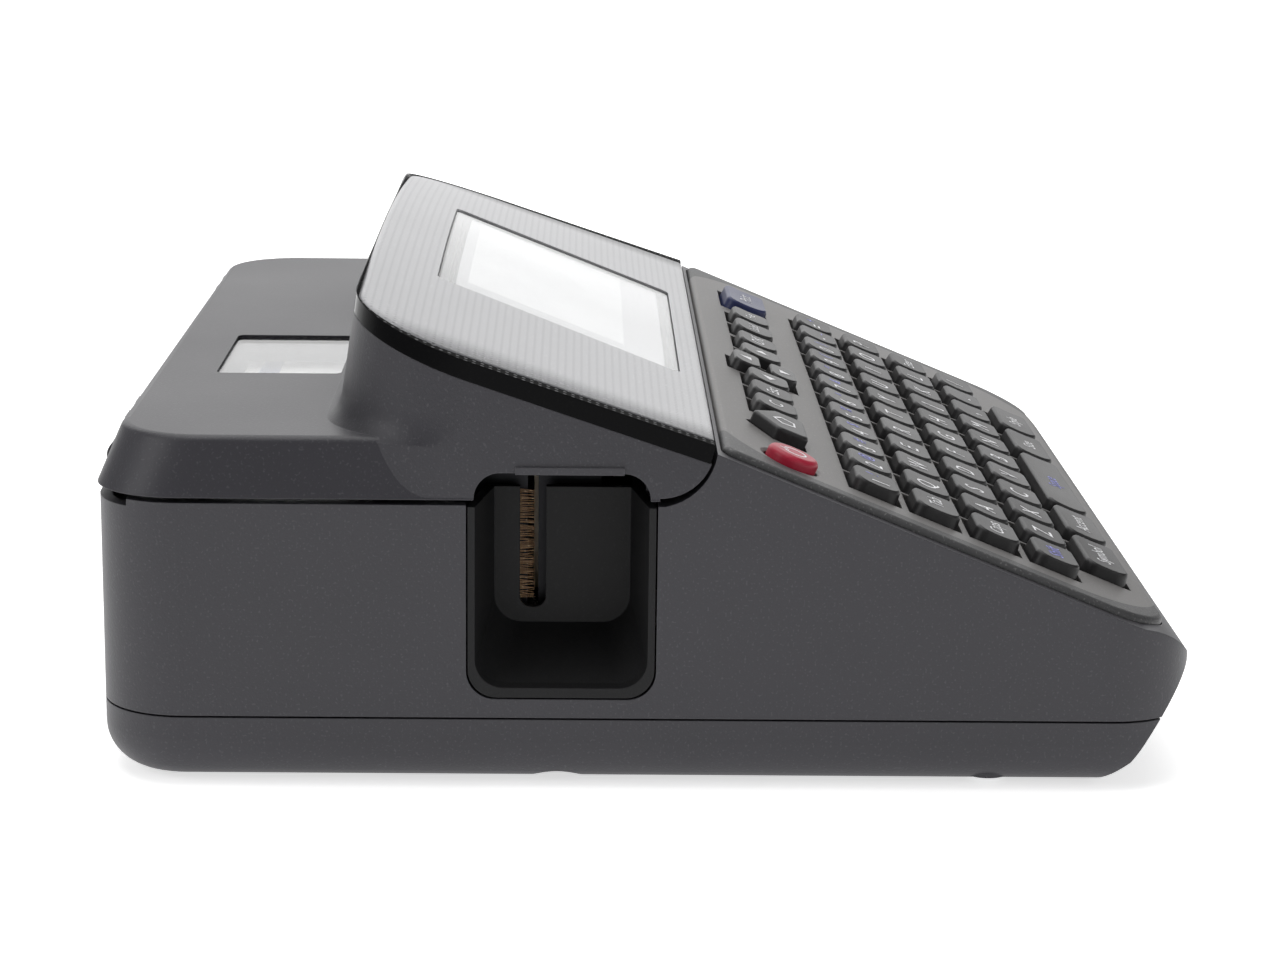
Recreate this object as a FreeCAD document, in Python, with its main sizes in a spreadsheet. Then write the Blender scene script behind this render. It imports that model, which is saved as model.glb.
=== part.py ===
import FreeCAD, Part
import math
import os
import re
import Sketcher
from FreeCAD import Placement, Rotation, Vector

# Desktop label maker. Millimetres, +Z up, -Y is the keyboard side, -X the side where the tape comes out.
# The origin lies on the resting surface, under the middle of the case.

DIMENSIONS = {
    "case_width": 201.0, "case_rear": 95.6, "case_front": -96.0, "corner_round": 15.0, "wall": 2.3,
    "foot_gap": 0.4, "parting": 12.5, "seam": 50.6, "deck_under_lid": 47.5,
    "panel_slope": 22.3, "panel_rear": -12.0, "panel_height": 60.9, "panel_drop": 1.3, "panel_thick": 2.8,
    "panel_length": 86.0, "panel_width": 195.8, "fit_gap": 0.3,
    "digit_pitch": 13.95, "digit_size": 12.2, "letter_pitch": 15.25, "letter_size": 13.4,
    "key_depth": 9.4, "key_rise": 2.35, "key_gap": 0.45, "first_edge": -87.8, "power_radius": 4.7,
    "key_travel": 1.2, "mat_thick": 1.4, "board_thick": 1.6,
    "lid_bottom": 51.5, "lid_deck": 61.6, "lid_lean": 4.2, "lid_wall": 2.2,
    "hood_front": -11.6, "hood_rear": 56.0, "hood_lean": 2.6, "hood_top": 92.0,
    "hood_corner": 22.0, "flare_radius": 6.0,
    "face_rise": 20.4, "face_run": 61.0, "face_crown": 4.4, "band_height": 3.4, "bezel_thick": 1.4,
    "hinge_y": 93.0, "hinge_z": 53.6, "knuckle_radius": 2.8, "pin_radius": 1.5, "running_gap": 0.05,
    "exit_front": -1.1, "exit_rear": 31.1, "exit_bottom": 16.5, "exit_depth": 17.5, "exit_lip": 1.1,
    "tape_y": 20.2, "slot_width": 4.6, "slot_bottom": 28.4,
    "bay_left": -41.5, "bay_right": 17.5, "bay_front": 5.5, "bay_back": 87.5, "bay_floor": 25.0,
    "bay_wall": 1.6, "cassette_length": 79.0, "cassette_width": 55.0, "cassette_height": 27.0,
    "plate_level": 17.6, "plate_thick": 1.2, "gear_level": 19.2, "gear_thick": 4.0, "gear_module": 0.6,
    "platen_x": -63.0, "platen_y": 25.5, "platen_radius": 5.0,
    "platen_teeth": 20.0, "idler_teeth": 40.0, "pinion_teeth": 12.0, "cutter_teeth": 14.0,
    "battery_radius": 7.1, "battery_length": 50.0, "battery_pitch": 15.0,
    "screw_radius": 1.45, "foot_radius": 6.0, "cutter_x": -73.5, "cutter_y": 35.0,
    "window_left": -41.5, "window_right": -2.5, "window_front": 57.1, "window_rear": 80.5, "pane_gap": 0.1,
    "sheet_half": 94.0, "sheet_front": -81.4, "sheet_rear": -4.6, "sheet_corner": 8.0,
}

doc = FreeCAD.newDocument("label_maker")
sheet = doc.addObject("Spreadsheet::Sheet", "dims")
for row, (alias, number) in enumerate(DIMENSIONS.items(), start=1):
    sheet.set(f"A{row}", alias)
    sheet.set(f"B{row}", str(number))
    sheet.setAlias(f"B{row}", alias)
doc.recompute()

nodes = []


def dim(alias):
    """The value of one cell of the sheet."""
    return float(sheet.get(alias))


def bound(words):
    """Turns words such as 'case_width / 2', or a plain number, into an expression on the sheet."""
    return re.sub(r"\b(" + "|".join(DIMENSIONS) + r")\b", r"dims.\1", str(words))


def bind(item, sizes):
    """Binds properties of an object to the sheet."""
    for name, words in sizes.items():
        item.setExpression(name, bound(words))
    return item


def keep(item, label):
    """Marks an object of the document as a finished sub-part with the label that names its file."""
    item.Label = label
    nodes.append(item)
    return item


def solid(label, shape, placement=Placement()):
    """A sub-part whose shape is worked out with Part's own functions from the sheet."""
    item = doc.addObject("Part::Feature", label)
    item.Shape = shape
    item.Placement = placement
    return keep(item, label)


def brick(name, corner, sizes):
    """A box object; its low corner and its three sizes are words on the sheet."""
    item = doc.addObject("Part::Box", name)
    x, y, z = corner
    length, width, height = sizes
    return bind(item, {"Placement.Base.x": x, "Placement.Base.y": y, "Placement.Base.z": z,
                       "Length": length, "Width": width, "Height": height})


def drum(name, radius, height, start, axis="z"):
    """A cylinder object along +X, +Y or +Z; its radius, height and start are words on the sheet."""
    turns = {"x": Rotation(Vector(0, 1, 0), 90), "y": Rotation(Vector(1, 0, 0), -90), "z": Rotation()}
    item = doc.addObject("Part::Cylinder", name)
    item.Placement = Placement(Vector(), turns[axis])
    x, y, z = start
    return bind(item, {"Placement.Base.x": x, "Placement.Base.y": y, "Placement.Base.z": z,
                       "Radius": radius, "Height": height})


def fused(name, *items):
    """One solid made of several objects."""
    item = doc.addObject("Part::MultiFuse", name)
    item.Shapes = list(items)
    item.Refine = True
    return item


def less(name, base, tool):
    """One object cut by another."""
    item = doc.addObject("Part::Cut", name)
    item.Base = base
    item.Tool = tool
    return item


def grouped(name, items):
    """Several objects as separate solids of one."""
    item = doc.addObject("Part::Compound", name)
    item.Links = items
    return item


def slab(label, sides, radius, bottom, thickness):
    """A body padded from a sketch of a rounded rectangle: low x, low y, high x and high y in words."""
    body = doc.addObject("PartDesign::Body", label)
    sketch = body.newObject("Sketcher::SketchObject", label + "_outline")
    sketch.AttachmentSupport = (body.Origin.OriginFeatures[3], [""])
    sketch.MapMode = "FlatFace"
    bind(sketch, {"AttachmentOffset.Base.z": bottom})
    half, round_off = 20.0, 2.0
    inner = half - round_off
    corners = [(-half, -half), (half, -half), (half, half), (-half, half)]
    up = Vector(0, 0, 1)
    for index, (x, y) in enumerate(corners):
        ahead_x, ahead_y = corners[(index + 1) % 4]
        along = Vector(ahead_x - x, ahead_y - y, 0).normalize()
        start, end = Vector(x, y, 0) + along * round_off, Vector(ahead_x, ahead_y, 0) - along * round_off
        sketch.addGeometry(Part.LineSegment(start, end), False)
    for x, y, first in ((-inner, -inner, 180), (inner, -inner, 270), (inner, inner, 0), (-inner, inner, 90)):
        circle = Part.Circle(Vector(x, y, 0), up, round_off)
        begin = math.radians(first)
        sketch.addGeometry(Part.ArcOfCircle(circle, begin, begin + math.pi / 2), False)
    for index in range(4):
        kind = "Horizontal" if index % 2 == 0 else "Vertical"
        sketch.addConstraint(Sketcher.Constraint(kind, index))
        sketch.addConstraint(Sketcher.Constraint("Tangent", 4 + index, 2, index, 1))
        sketch.addConstraint(Sketcher.Constraint("Tangent", index, 2, 4 + (index + 1) % 4, 1))
    for index in range(5, 8):
        sketch.addConstraint(Sketcher.Constraint("Equal", 4, index))
    sizes = [("left", "DistanceX", 3, -half), ("front", "DistanceY", 0, -half),
             ("right", "DistanceX", 1, half), ("rear", "DistanceY", 2, half)]
    for name, kind, line, value in sizes:
        sketch.renameConstraint(sketch.addConstraint(Sketcher.Constraint(kind, line, 1, value)), name)
    sketch.renameConstraint(sketch.addConstraint(Sketcher.Constraint("Radius", 4, round_off)), "corner")
    names = ("left", "front", "right", "rear")
    bind(sketch, {"Constraints." + name: words for name, words in zip(names, sides)})
    bind(sketch, {"Constraints.corner": radius})
    pad = body.newObject("PartDesign::Pad", label + "_pad")
    pad.Profile = sketch
    bind(pad, {"Length": thickness})
    body.Tip = pad
    return keep(body, label)


def box(low, high):
    return Part.makeBox(high[0] - low[0], high[1] - low[1], high[2] - low[2], Vector(*low))


def rod(radius, start, length, axis=(0, 0, 1)):
    return Part.makeCylinder(radius, length, Vector(*start), Vector(*axis))


def union(*shapes):
    joined = shapes[0].multiFuse(list(shapes[1:])) if len(shapes) > 1 else shapes[0]
    return joined.removeSplitter()


def rounded_wire(x_low, y_low, x_high, y_high, radii, level=0.0):
    """A rectangle with its corners rounded; radii start at (low, low) and go round by (high, low)."""
    corners = [(x_low, y_low), (x_high, y_low), (x_high, y_high), (x_low, y_high)]
    points, edges = [], []
    for index, (x, y) in enumerate(corners):
        radius = radii[index]
        previous = corners[index - 1]
        following = corners[(index + 1) % 4]
        here = Vector(x, y, level)
        back = (Vector(*previous, level) - here).normalize()
        ahead = (Vector(*following, level) - here).normalize()
        middle = here + (back + ahead) * radius * (1 - math.sqrt(0.5))
        points.append((here + back * radius, middle, here + ahead * radius))
    for index, (start, middle, end) in enumerate(points):
        edges.append(Part.Arc(start, middle, end).toShape())
        follower = points[(index + 1) % 4][0]
        edges.append(Part.makeLine(end, follower))
    return Part.Wire(edges)


def rounded_block(x_low, y_low, x_high, y_high, radius, z_low, z_high):
    """An upright block on a rounded rectangle."""
    radii = radius if isinstance(radius, (list, tuple)) else [radius] * 4
    wire = rounded_wire(x_low, y_low, x_high, y_high, radii, z_low)
    return Part.Face(wire).extrude(Vector(0, 0, z_high - z_low))


def side_block(outline, x_low, x_high):
    """A block whose outline is drawn in the Y-Z plane and drawn out along X."""
    points = [Vector(x_low, y, z) for y, z in outline]
    return Part.Face(Part.makePolygon(points + points[:1])).extrude(Vector(x_high - x_low, 0, 0))


def edges_where(shape, test):
    """The edges whose middle point passes the test."""
    chosen = []
    for edge in shape.Edges:
        middle = edge.valueAt((edge.FirstParameter + edge.LastParameter) / 2)
        if test(middle, edge):
            chosen.append(edge)
    return chosen


# ---------------------------------------------------------------- case


def case_profile(lift):
    """The case seen from its side, from the parting line or the floor up to the seam and the slope."""
    slope = math.tan(math.radians(dim("panel_slope")))
    rim_rear = dim("panel_height") - dim("panel_drop") + 0.6 * slope
    rim_front = -86.0
    fall = rim_rear - slope * (dim("hood_front") + 0.2 - rim_front)
    start = Vector(0, dim("case_rear"), lift)
    rear_top = Vector(0, dim("case_rear"), dim("seam"))
    shoulder_foot = Vector(0, -2.6, dim("seam"))
    shoulder_top = Vector(0, dim("hood_front") + 0.2, rim_rear)
    nose = Vector(0, rim_front, fall)
    tip = Vector(0, dim("case_front"), 21.6)
    chin = Vector(0, dim("case_front") + 0.69 * (21.6 - lift), lift)
    shoulder = Part.Arc(shoulder_foot, Vector(0, -7.6, 53.0), shoulder_top).toShape()
    beak = Part.Arc(nose, Vector(0, -93.2, 25.4), tip).toShape()
    lines = [(start, rear_top), (rear_top, shoulder_foot)]
    edges = [Part.makeLine(*ends) for ends in lines] + [shoulder, Part.makeLine(shoulder_top, nose), beak]
    edges += [Part.makeLine(tip, chin), Part.makeLine(chin, start)]
    return Part.Face(Part.Wire(edges))


def plan_block(inset, z_low, z_high):
    """The case's plan, drawn in by inset."""
    half = dim("case_width") / 2 - inset
    radius = dim("corner_round") - inset
    front, rear = dim("case_front") + inset, dim("case_rear") - inset
    return rounded_block(-half, front, half, rear, radius, z_low, z_high)


def make_bottom_case():
    """Lower shell: a shallow tray with a broad round along its lower edge and a battery well."""
    low, top, wall = dim("foot_gap"), dim("parting"), dim("wall")
    tray = plan_block(0, low, top)
    beak = [(-110, 30), (-96.0, 21.6), (-89.72, top), (-84.6, 5.0), (-78.0, low - 1), (-110, low - 1)]
    chin = side_block(beak, -120, 120)
    under = edges_where(tray, lambda middle, edge: middle.z < low + 0.01)
    tray = tray.makeFillet(8.0, under).cut(chin)
    upper_hollow = rounded_block(-97.5, -83.0, 97.5, 92.6, 12.0, 7.0, top + 1)
    lower_hollow = rounded_block(-92.0, -76.0, 92.0, 87.0, 9.0, low + wall, 7.5)
    tray = tray.cut(union(upper_hollow, lower_hollow))
    left, right, front, back = battery_well()
    well_wall = box((left - 1.6, front - 1.6, low), (right + 1.6, back + 1.6, 11.8))
    well_wall = well_wall.cut(box((left, front, low - 1), (right, back, 12)))
    tray = union(tray, well_wall)
    opening = box((left, front, low - 1), (right, back, low + wall + 0.4))
    ledge = box((left - 3.0, front - 2.6, low - 1), (right + 3.0, back + 3.6, low + 1.9))
    tray = tray.cut(union(opening, ledge))
    finger_notch = rod(8.0, (-101, 15.6, low - 6.2), 14, (1, 0, 0))
    tray = tray.cut(finger_notch)
    for x, y in screw_places():
        shaft = rod(dim("screw_radius") + 0.15, (x, y, 0), top + 1)
        post = rod(4.2, (x, y, low + 1), top - low - 1)
        tray = union(tray, post).cut(union(shaft, rod(3.2, (x, y, 0), 3.4)))
    for x, y in foot_places():
        tray = tray.cut(rod(dim("foot_radius") + 0.1, (x, y, 0), low + 0.8))
    return solid("bottom_case", tray)


def battery_well():
    """Low x, high x, low y and high y of the room for the cells."""
    return (-32.4, 76.8, 32.6, 81.8)


def screw_places():
    return [(-93.4, -60), (93.4, -60), (-84, 82), (90, 82)]


def foot_places():
    return [(-80, -44), (80, -44), (-80, 66), (84, 14)]


def make_main_case():
    """Upper shell: shoulder, keyboard slope with its rim, deck under the lid and the side openings."""
    low, wall, half = dim("parting") + 0.35, dim("wall"), dim("case_width") / 2
    shell = case_profile(low).extrude(Vector(2 * half, 0, 0))
    shell.translate(Vector(-half, 0, 0))
    shell = shell.common(plan_block(0, 0, 90))
    relief = box((-half - 1, 89.5, dim("seam") - 1.2), (half + 1, 100, 60))
    shell = shell.cut(relief)
    hollow = inner_case(low - 1, dim("deck_under_lid") - 2.0)
    shell = shell.cut(hollow)
    top_tray = rounded_block(-half + wall, 0.6, half - wall, 93.3, [2, 2, 12, 12], dim("deck_under_lid"), 60)
    shell = shell.cut(top_tray)
    shell = shell.cut(panel_pocket())
    shell = shell.cut(mechanism_opening(dim("deck_under_lid") - 6, dim("deck_under_lid") + 1))
    gap = dim("fit_gap")
    front, rear = dim("exit_front") - gap, dim("exit_rear") + gap
    exit_hole = rounded_block(dim("exit_bottom") - gap, front, 70, rear, 5.0, 0, dim("exit_depth") + 2)
    exit_hole.rotate(Vector(0, 0, 0), Vector(0, 1, 0), -90)
    exit_hole.translate(Vector(-half + dim("exit_depth") + 0.6, 0, 0))
    shell = shell.cut(exit_hole)
    shell = shell.cut(rod(5.6, (52, 99, 20.5), 8, (0, -1, 0)))
    shell = shell.cut(box((67.6, 90, 15.2), (80.4, 99, 26.8)))
    for side in (-1, 1):
        shell = union(shell, case_knuckle(side))
    for x, y in screw_places():
        top = 46.5 if y > 0 else 26.0
        post = rod(3.6, (x, y, low + 0.1), top - low)
        if y < 0:
            outward = 1 if x > 0 else -1
            rib = sorted((x, x + 5.6 * outward))
            post = union(post, box((rib[0], y - 1.2, low + 0.1), (rib[1], y + 1.2, top)))
        shell = union(shell, post.cut(rod(dim("screw_radius") + 0.05, (x, y, low - 1), 9.0)))
    return solid("main_case", shell)


def inner_case(z_low, z_high):
    """The room inside the upper shell."""
    wall = dim("wall")
    slope = math.tan(math.radians(dim("panel_slope")))
    rim = dim("panel_height") - dim("panel_drop") - dim("panel_thick") + 0.2
    outline = [(dim("case_rear") - wall, z_low), (dim("case_rear") - wall, z_high), (-1.0, z_high),
               (-13.0, rim - 1.0 * slope - 1.6), (-83.0, rim - 71 * slope - 1.6), (-91.0, 20.6), (-87.0, z_low)]
    half = dim("case_width") / 2
    return side_block(outline, -half, half).common(plan_block(wall, 0, 90))


def panel_frame():
    """Places a shape drawn flat, with its rear edge on the X axis, on the slope of the keyboard."""
    return Placement(Vector(0, dim("panel_rear"), dim("panel_height")),
                     Rotation(Vector(1, 0, 0), dim("panel_slope")))


def on_panel(shape):
    shape.Placement = panel_frame().multiply(shape.Placement)
    return shape


def panel_outline(grow, n_low, n_high):
    half = dim("panel_width") / 2 + grow
    corner = 12.6 + grow
    return rounded_block(-half, -dim("panel_length") - grow, half, -0.9 + grow, [corner, corner, 2.5, 2.5],
                         n_low, n_high)


def panel_pocket():
    """The seat of the keyboard panel with the opening inside it that the keys' mechanism passes."""
    seat = panel_outline(0.25, -dim("panel_thick") - 0.05, 12)
    passage = rounded_block(-94.6, -82.0, 94.6, -4.0, 10.0, -9.5, 0)
    return on_panel(union(seat, passage))


def mechanism_opening(z_low, z_high):
    """Opening of the deck over the print mechanism and the cassette tub."""
    mechanism = box((-83.4, 2.6, z_low), (-40, 48, z_high))
    tub = box((dim("bay_left") - 0.2, dim("bay_front") - 0.2, z_low),
              (dim("bay_right") + 0.2, dim("bay_back") + 0.2, z_high))
    return union(mechanism, tub)


def case_knuckle(side):
    """Hinge knuckle that stands on the rear wall of the case, bored for the pin."""
    y, z, radius = dim("hinge_y"), dim("hinge_z"), dim("knuckle_radius")
    start = 64.6 if side > 0 else -70.4
    barrel = rod(radius, (start, y, z), 5.8, (1, 0, 0))
    inner = dim("case_rear") - dim("wall") + 0.1
    stalk = box((start, inner, dim("seam") - 6), (start + 5.8, y + radius - 0.2, z))
    bore = rod(dim("pin_radius") + 0.01, (start - 1, y, z), 8, (1, 0, 0))
    return union(barrel, stalk).cut(bore)


# ---------------------------------------------------------------- keyboard

ROW_PLACES = {"function": -12.8, "digits": -29.9, "upper": -41.5, "middle": -53.1, "lower": -64.7,
              "command": -76.3}


def row_of(first, count, row, kind="letter"):
    """Keys of one size in a row: (x, y, width, depth) for each, counted from the column named first."""
    size, pitch = dim(kind + "_size"), dim(kind + "_pitch")
    start = dim("first_edge") + size / 2 + first * pitch
    return [(start + index * pitch, ROW_PLACES[row], size, dim("key_depth")) for index in range(count)]


def key_plan():
    """Every moving key or group of like keys: name, list of (x, y, width, depth)."""
    depth = dim("key_depth")
    top, command = ROW_PLACES["function"], ROW_PLACES["command"]
    return {
        "clear_key": [(-48.9, top, 11.0, depth)],
        "escape_key": [(-36.4, top, 11.0, depth)],
        "left_key": [(-23.8, top, 10.6, depth)],
        "up_key": [(-10.8, top + 3.9, 12.0, 6.6)],
        "down_key": [(-10.8, top - 3.9, 12.0, 6.6)],
        "right_key": [(2.2, top, 10.6, depth)],
        "ok_key": [(15.4, top, 11.6, depth)],
        "label_key": [(30.2, top, 11.6, depth)],
        "file_key": [(44.0, top, 11.6, depth)],
        "print_key": [(66.4, top, 19.0, depth + 1.0)],
        "digit_keys": row_of(0, 12, "digits", "digit"),
        "tab_key": row_of(0, 1, "upper"),
        "upper_letter_keys": row_of(1, 10, "upper"),
        "caps_key": row_of(0, 1, "middle"),
        "middle_letter_keys": row_of(1, 9, "middle"),
        "enter_key": row_of(10, 1, "middle"),
        "shift_key": row_of(0, 1, "lower"),
        "lower_letter_keys": row_of(1, 10, "lower"),
        "command_keys": [(-66.0, command, 21.5, depth), (-42.4, command, 21.5, depth),
                         (27.4, command, 21.5, depth), (51.0, command, 21.5, depth)],
        "space_key": [(-7.5, command, 44.2, depth)],
    }


def power_place():
    """Middle of the power key on the panel."""
    return (-87.2, ROW_PLACES["function"] - 1.0)


def key_blank(x, y, width, depth):
    """One key: rounded cap with slightly drawn-in walls, dished top and a retaining flange."""
    foot = -dim("panel_thick") - 0.2
    rise = dim("key_rise")

    def outline(grow, level):
        half_x, half_y = width / 2 + grow, depth / 2 + grow
        return rounded_wire(x - half_x, y - half_y, x + half_x, y + half_y, [2.3] * 4, level)

    cap = Part.makeLoft([outline(0, foot), outline(-0.55, rise)], True, True)
    rim = edges_where(cap, lambda middle, edge: middle.z > rise - 0.01)
    cap = cap.makeFillet(0.85, rim)
    dish_radius = 34.0
    dish = rod(dish_radius, (x - width, y, rise + dish_radius - 0.28), 2 * width, (1, 0, 0))
    flange = Part.Face(outline(0.55, foot - 0.9)).extrude(Vector(0, 0, 0.9))
    return union(cap.cut(dish), flange)


def make_keys():
    """All the straight keys; like keys of a row are separate solids of one node."""
    for name, places in key_plan().items():
        blanks = [key_blank(*place) for place in places]
        shape = blanks[0] if len(blanks) == 1 else Part.makeCompound(blanks)
        solid(name, shape, panel_frame())


def make_power_key():
    """Round key with a softly rounded rim."""
    x, y = power_place()
    foot, rise, radius = -dim("panel_thick") - 0.2, 1.9, dim("power_radius")
    cap = rod(radius, (x, y, foot), rise - foot)
    cap = cap.makeFillet(1.1, edges_where(cap, lambda middle, edge: middle.z > rise - 0.01))
    return solid("power_key", union(cap, rod(radius + 0.6, (x, y, foot - 0.9), 0.9)), panel_frame())


def home_outline(grow, level):
    """Five-sided outline of the home key, pointed on its rear side."""
    x, y = -65.0, ROW_PLACES["function"]
    points = [(-7.4, -4.7), (7.4, -4.7), (7.4, 1.4), (0, 5.9), (-7.4, 1.4)]
    reach = 1 + grow / 5.5
    corners = [Vector(x + px * (1 + grow / 7.4), y + py * reach, level) for px, py in points]
    return Part.Face(Part.makePolygon(corners + corners[:1]))


def make_home_key():
    """Five-sided key with rounded corners."""
    foot, rise = -dim("panel_thick") - 0.2, dim("key_rise")
    cap = home_outline(0, foot).extrude(Vector(0, 0, rise - foot))
    corners = edges_where(cap, lambda middle, edge: abs(middle.z - (foot + rise) / 2) < 0.01)
    cap = cap.makeFillet(1.5, corners)
    rim = edges_where(cap, lambda middle, edge: middle.z > rise - 0.01)
    cap = cap.makeFillet(0.7, rim)
    flange = home_outline(0.55, foot - 0.9).extrude(Vector(0, 0, 0.9))
    return solid("home_key", union(cap, flange), panel_frame())


def make_keyboard_panel():
    """Plate with an opening for every key; its edge is rounded over above the case rim."""
    plate = panel_outline(0, -dim("panel_thick"), 0)
    rim = edges_where(plate, lambda middle, edge: middle.z > -0.01)
    plate = plate.makeFillet(1.2, rim)
    gap = dim("key_gap")
    cutters = []
    for places in key_plan().values():
        for x, y, width, depth in places:
            low = (x - width / 2 - gap, y - depth / 2 - gap, -dim("panel_thick") - 1)
            cutters.append(box(low, (x + width / 2 + gap, y + depth / 2 + gap, 1)))
    x, y = power_place()
    hole = rod(dim("power_radius") + dim("key_gap"), (x, y, -4), 5)
    cutters.append(union(hole, Part.makeCone(4.0, 7.0, 1.6, Vector(x, y, -1.0), Vector(0, 0, 1))))
    cutters.append(home_outline(0.5, -4).extrude(Vector(0, 0, 5)))
    return solid("keyboard_panel", plate.cut(Part.makeCompound(cutters)), panel_frame())


def make_key_mat():
    """Rubber sheet under the keys with a low pad for each."""
    top = -dim("panel_thick") - 0.2 - 0.9 - dim("key_travel") - 0.15
    half = dim("sheet_half")
    sheet_solid = rounded_block(-half, dim("sheet_front"), half, dim("sheet_rear"), dim("sheet_corner"),
                                top - dim("mat_thick"), top - 0.5)
    pads = []
    for places in key_plan().values():
        for x, y, width, depth in places:
            low = (x - width / 2 + 1, y - depth / 2 + 1, top - 0.7)
            pads.append(box(low, (x + width / 2 - 1, y + depth / 2 - 1, top)))
    return solid("key_mat", union(sheet_solid, *pads), panel_frame())


def make_keyboard_board():
    """Circuit board under the rubber sheet."""
    top = "-panel_thick - 1.35 - key_travel - mat_thick"
    board = slab("keyboard_board", ("-sheet_half", "sheet_front", "sheet_half", "sheet_rear"), "sheet_corner",
                 f"{top} - board_thick", "board_thick")
    board.Placement = panel_frame()
    return board


# ---------------------------------------------------------------- lid


def above_face(drop):
    """Everything above the display face lowered by drop: straight at its front, crowned at its rear."""
    half = dim("case_width") / 2 + 6
    rise, run = dim("face_rise"), dim("face_run")

    def section(y):
        share = (y - dim("panel_rear")) / run
        edge = dim("panel_height") + share * rise - drop
        crown = share * dim("face_crown")
        reach = (half / 98.0) ** 2
        ends = edge - crown * (reach - 1)
        middle = edge + crown
        start, end, lift = Vector(-half, y, ends), Vector(half, y, ends), 120.0
        bow = Part.BezierCurve()
        bow.setPoles([start, Vector(0, y, 2 * middle - ends), end])
        sides = [Part.makeLine(end, Vector(half, y, lift)),
                 Part.makeLine(Vector(half, y, lift), Vector(-half, y, lift)),
                 Part.makeLine(Vector(-half, y, lift), start)]
        return Part.Wire([bow.toShape()] + sides)

    return Part.makeLoft([section(dim("panel_rear") - 30), section(dim("hood_rear") + 12)], True, True)


def hood_block(inset, z_low):
    """The display housing before its face is cut: leaning walls with broad rear corners."""
    lean = dim("hood_lean")
    half = dim("case_width") / 2 - 0.1 - inset
    front = dim("hood_front") + inset if inset > 0.6 else dim("hood_front")
    corner = dim("hood_corner") - inset
    foot = rounded_wire(-half, front - 20, half, dim("hood_rear") - inset, [2, 2, corner, corner], z_low)
    rear_top = dim("hood_rear") - inset - 2.2 * lean
    radii = [2, 2, corner, corner]
    head = rounded_wire(-half + lean, front - 20, half - lean, rear_top, radii, dim("hood_top"))
    return Part.makeLoft([foot, head], True, True)


def deck_block(inset, z_low, z_high):
    """The flat rear part of the lid, with leaning walls."""
    lean = dim("lid_lean") * (z_high - z_low) / (dim("lid_deck") - dim("lid_bottom"))
    half = dim("case_width") / 2 - inset
    rear = 96.0 - inset
    radius = dim("corner_round") - inset * 0.6
    foot = rounded_wire(-half, -40, half, rear, [2, 2, radius, radius], z_low)
    top_half = half - lean * 0.85
    head = rounded_wire(-top_half, -40, top_half, rear - lean, [2, 2, radius, radius], z_high)
    return Part.makeLoft([foot, head], True, True)


def shoulder_cut(gap):
    """What lies in front of the lid: the shoulder of the case and the keyboard, moved back by gap."""
    foot = Vector(-110, -2.6 + gap, dim("lid_bottom") - 0.4 + gap)
    middle = Vector(-110, -7.6 + gap * 0.7, 53.0 + gap * 0.7)
    front = dim("hood_front") + 0.2 + gap * 0.35
    head = Vector(-110, front, 61.2)
    arc = Part.Arc(foot, middle, head).toShape()
    top = Vector(-110, front, 130)
    far = [Vector(-110, -70, 130), Vector(-110, -70, 40), Vector(-110, -2.6 + gap, 40)]
    edges = [arc, Part.makeLine(head, top), Part.makeLine(top, far[0]), Part.makeLine(far[0], far[1]),
             Part.makeLine(far[1], far[2]), Part.makeLine(far[2], foot)]
    return Part.Face(Part.Wire(edges)).extrude(Vector(220, 0, 0))


def lid_opening():
    """Window in the deck over the cassette: low x, low y, high x, high y."""
    return (dim("window_left"), dim("window_front"), dim("window_right"), dim("window_rear"))


def display_opening():
    """Opening of the display face: low x, low y, high x, high y."""
    return (-45.0, -6.6, 45.0, 38.8)


def make_top_lid():
    """Deck and display housing in one moulding, with the arch and finger ledge over the tape exit."""
    bottom, thick = dim("lid_bottom"), dim("lid_wall")
    deck = deck_block(0, bottom, dim("lid_deck"))
    deck = deck.makeFillet(1.6, edges_where(deck, lambda middle, edge: middle.z > dim("lid_deck") - 0.01))
    outer = deck.multiFuse(list(flared_hood()))
    outer = outer.cut(above_face(dim("band_height") + 0.05)).cut(shoulder_cut(0.9))
    inner_deck = deck_block(thick, bottom - 1, dim("lid_deck") - thick)
    inner_hood = hood_block(thick, bottom - 1).cut(above_face(dim("band_height") + thick))
    inner = union(inner_deck, inner_hood).cut(shoulder_cut(0.9 + thick))
    lid = outer.cut(inner)
    x_low, y_low, x_high, y_high = lid_opening()
    lid = lid.cut(rounded_block(x_low, y_low, x_high, y_high, 1.5, 55, 70))
    x_low, y_low, x_high, y_high = display_opening()
    lid = lid.cut(rounded_block(x_low + 1.5, y_low + 1.5, x_high - 1.5, y_high - 1.5, 2, 50, 90))
    lid = union(lid.cut(exit_arch()), exit_ledge())
    for side in (-1, 1):
        lid = lid.cut(knuckle_notch(side))
        lid = union(lid, *lid_knuckles(side)).cut(pin_bore(side))
    return solid("top_lid", lid)


def hood_wire(level, reach):
    """Plan of the display housing at a height, drawn out to the rear by reach."""
    share = (level - dim("lid_bottom")) / (dim("hood_top") - dim("lid_bottom"))
    half = dim("case_width") / 2 - 0.1 - dim("hood_lean") * share
    rear = dim("hood_rear") - 2.2 * dim("hood_lean") * share + reach
    corner = dim("hood_corner")
    return rounded_wire(-half, dim("hood_front") - 20, half, rear, [2, 2, corner, corner], level)


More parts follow.
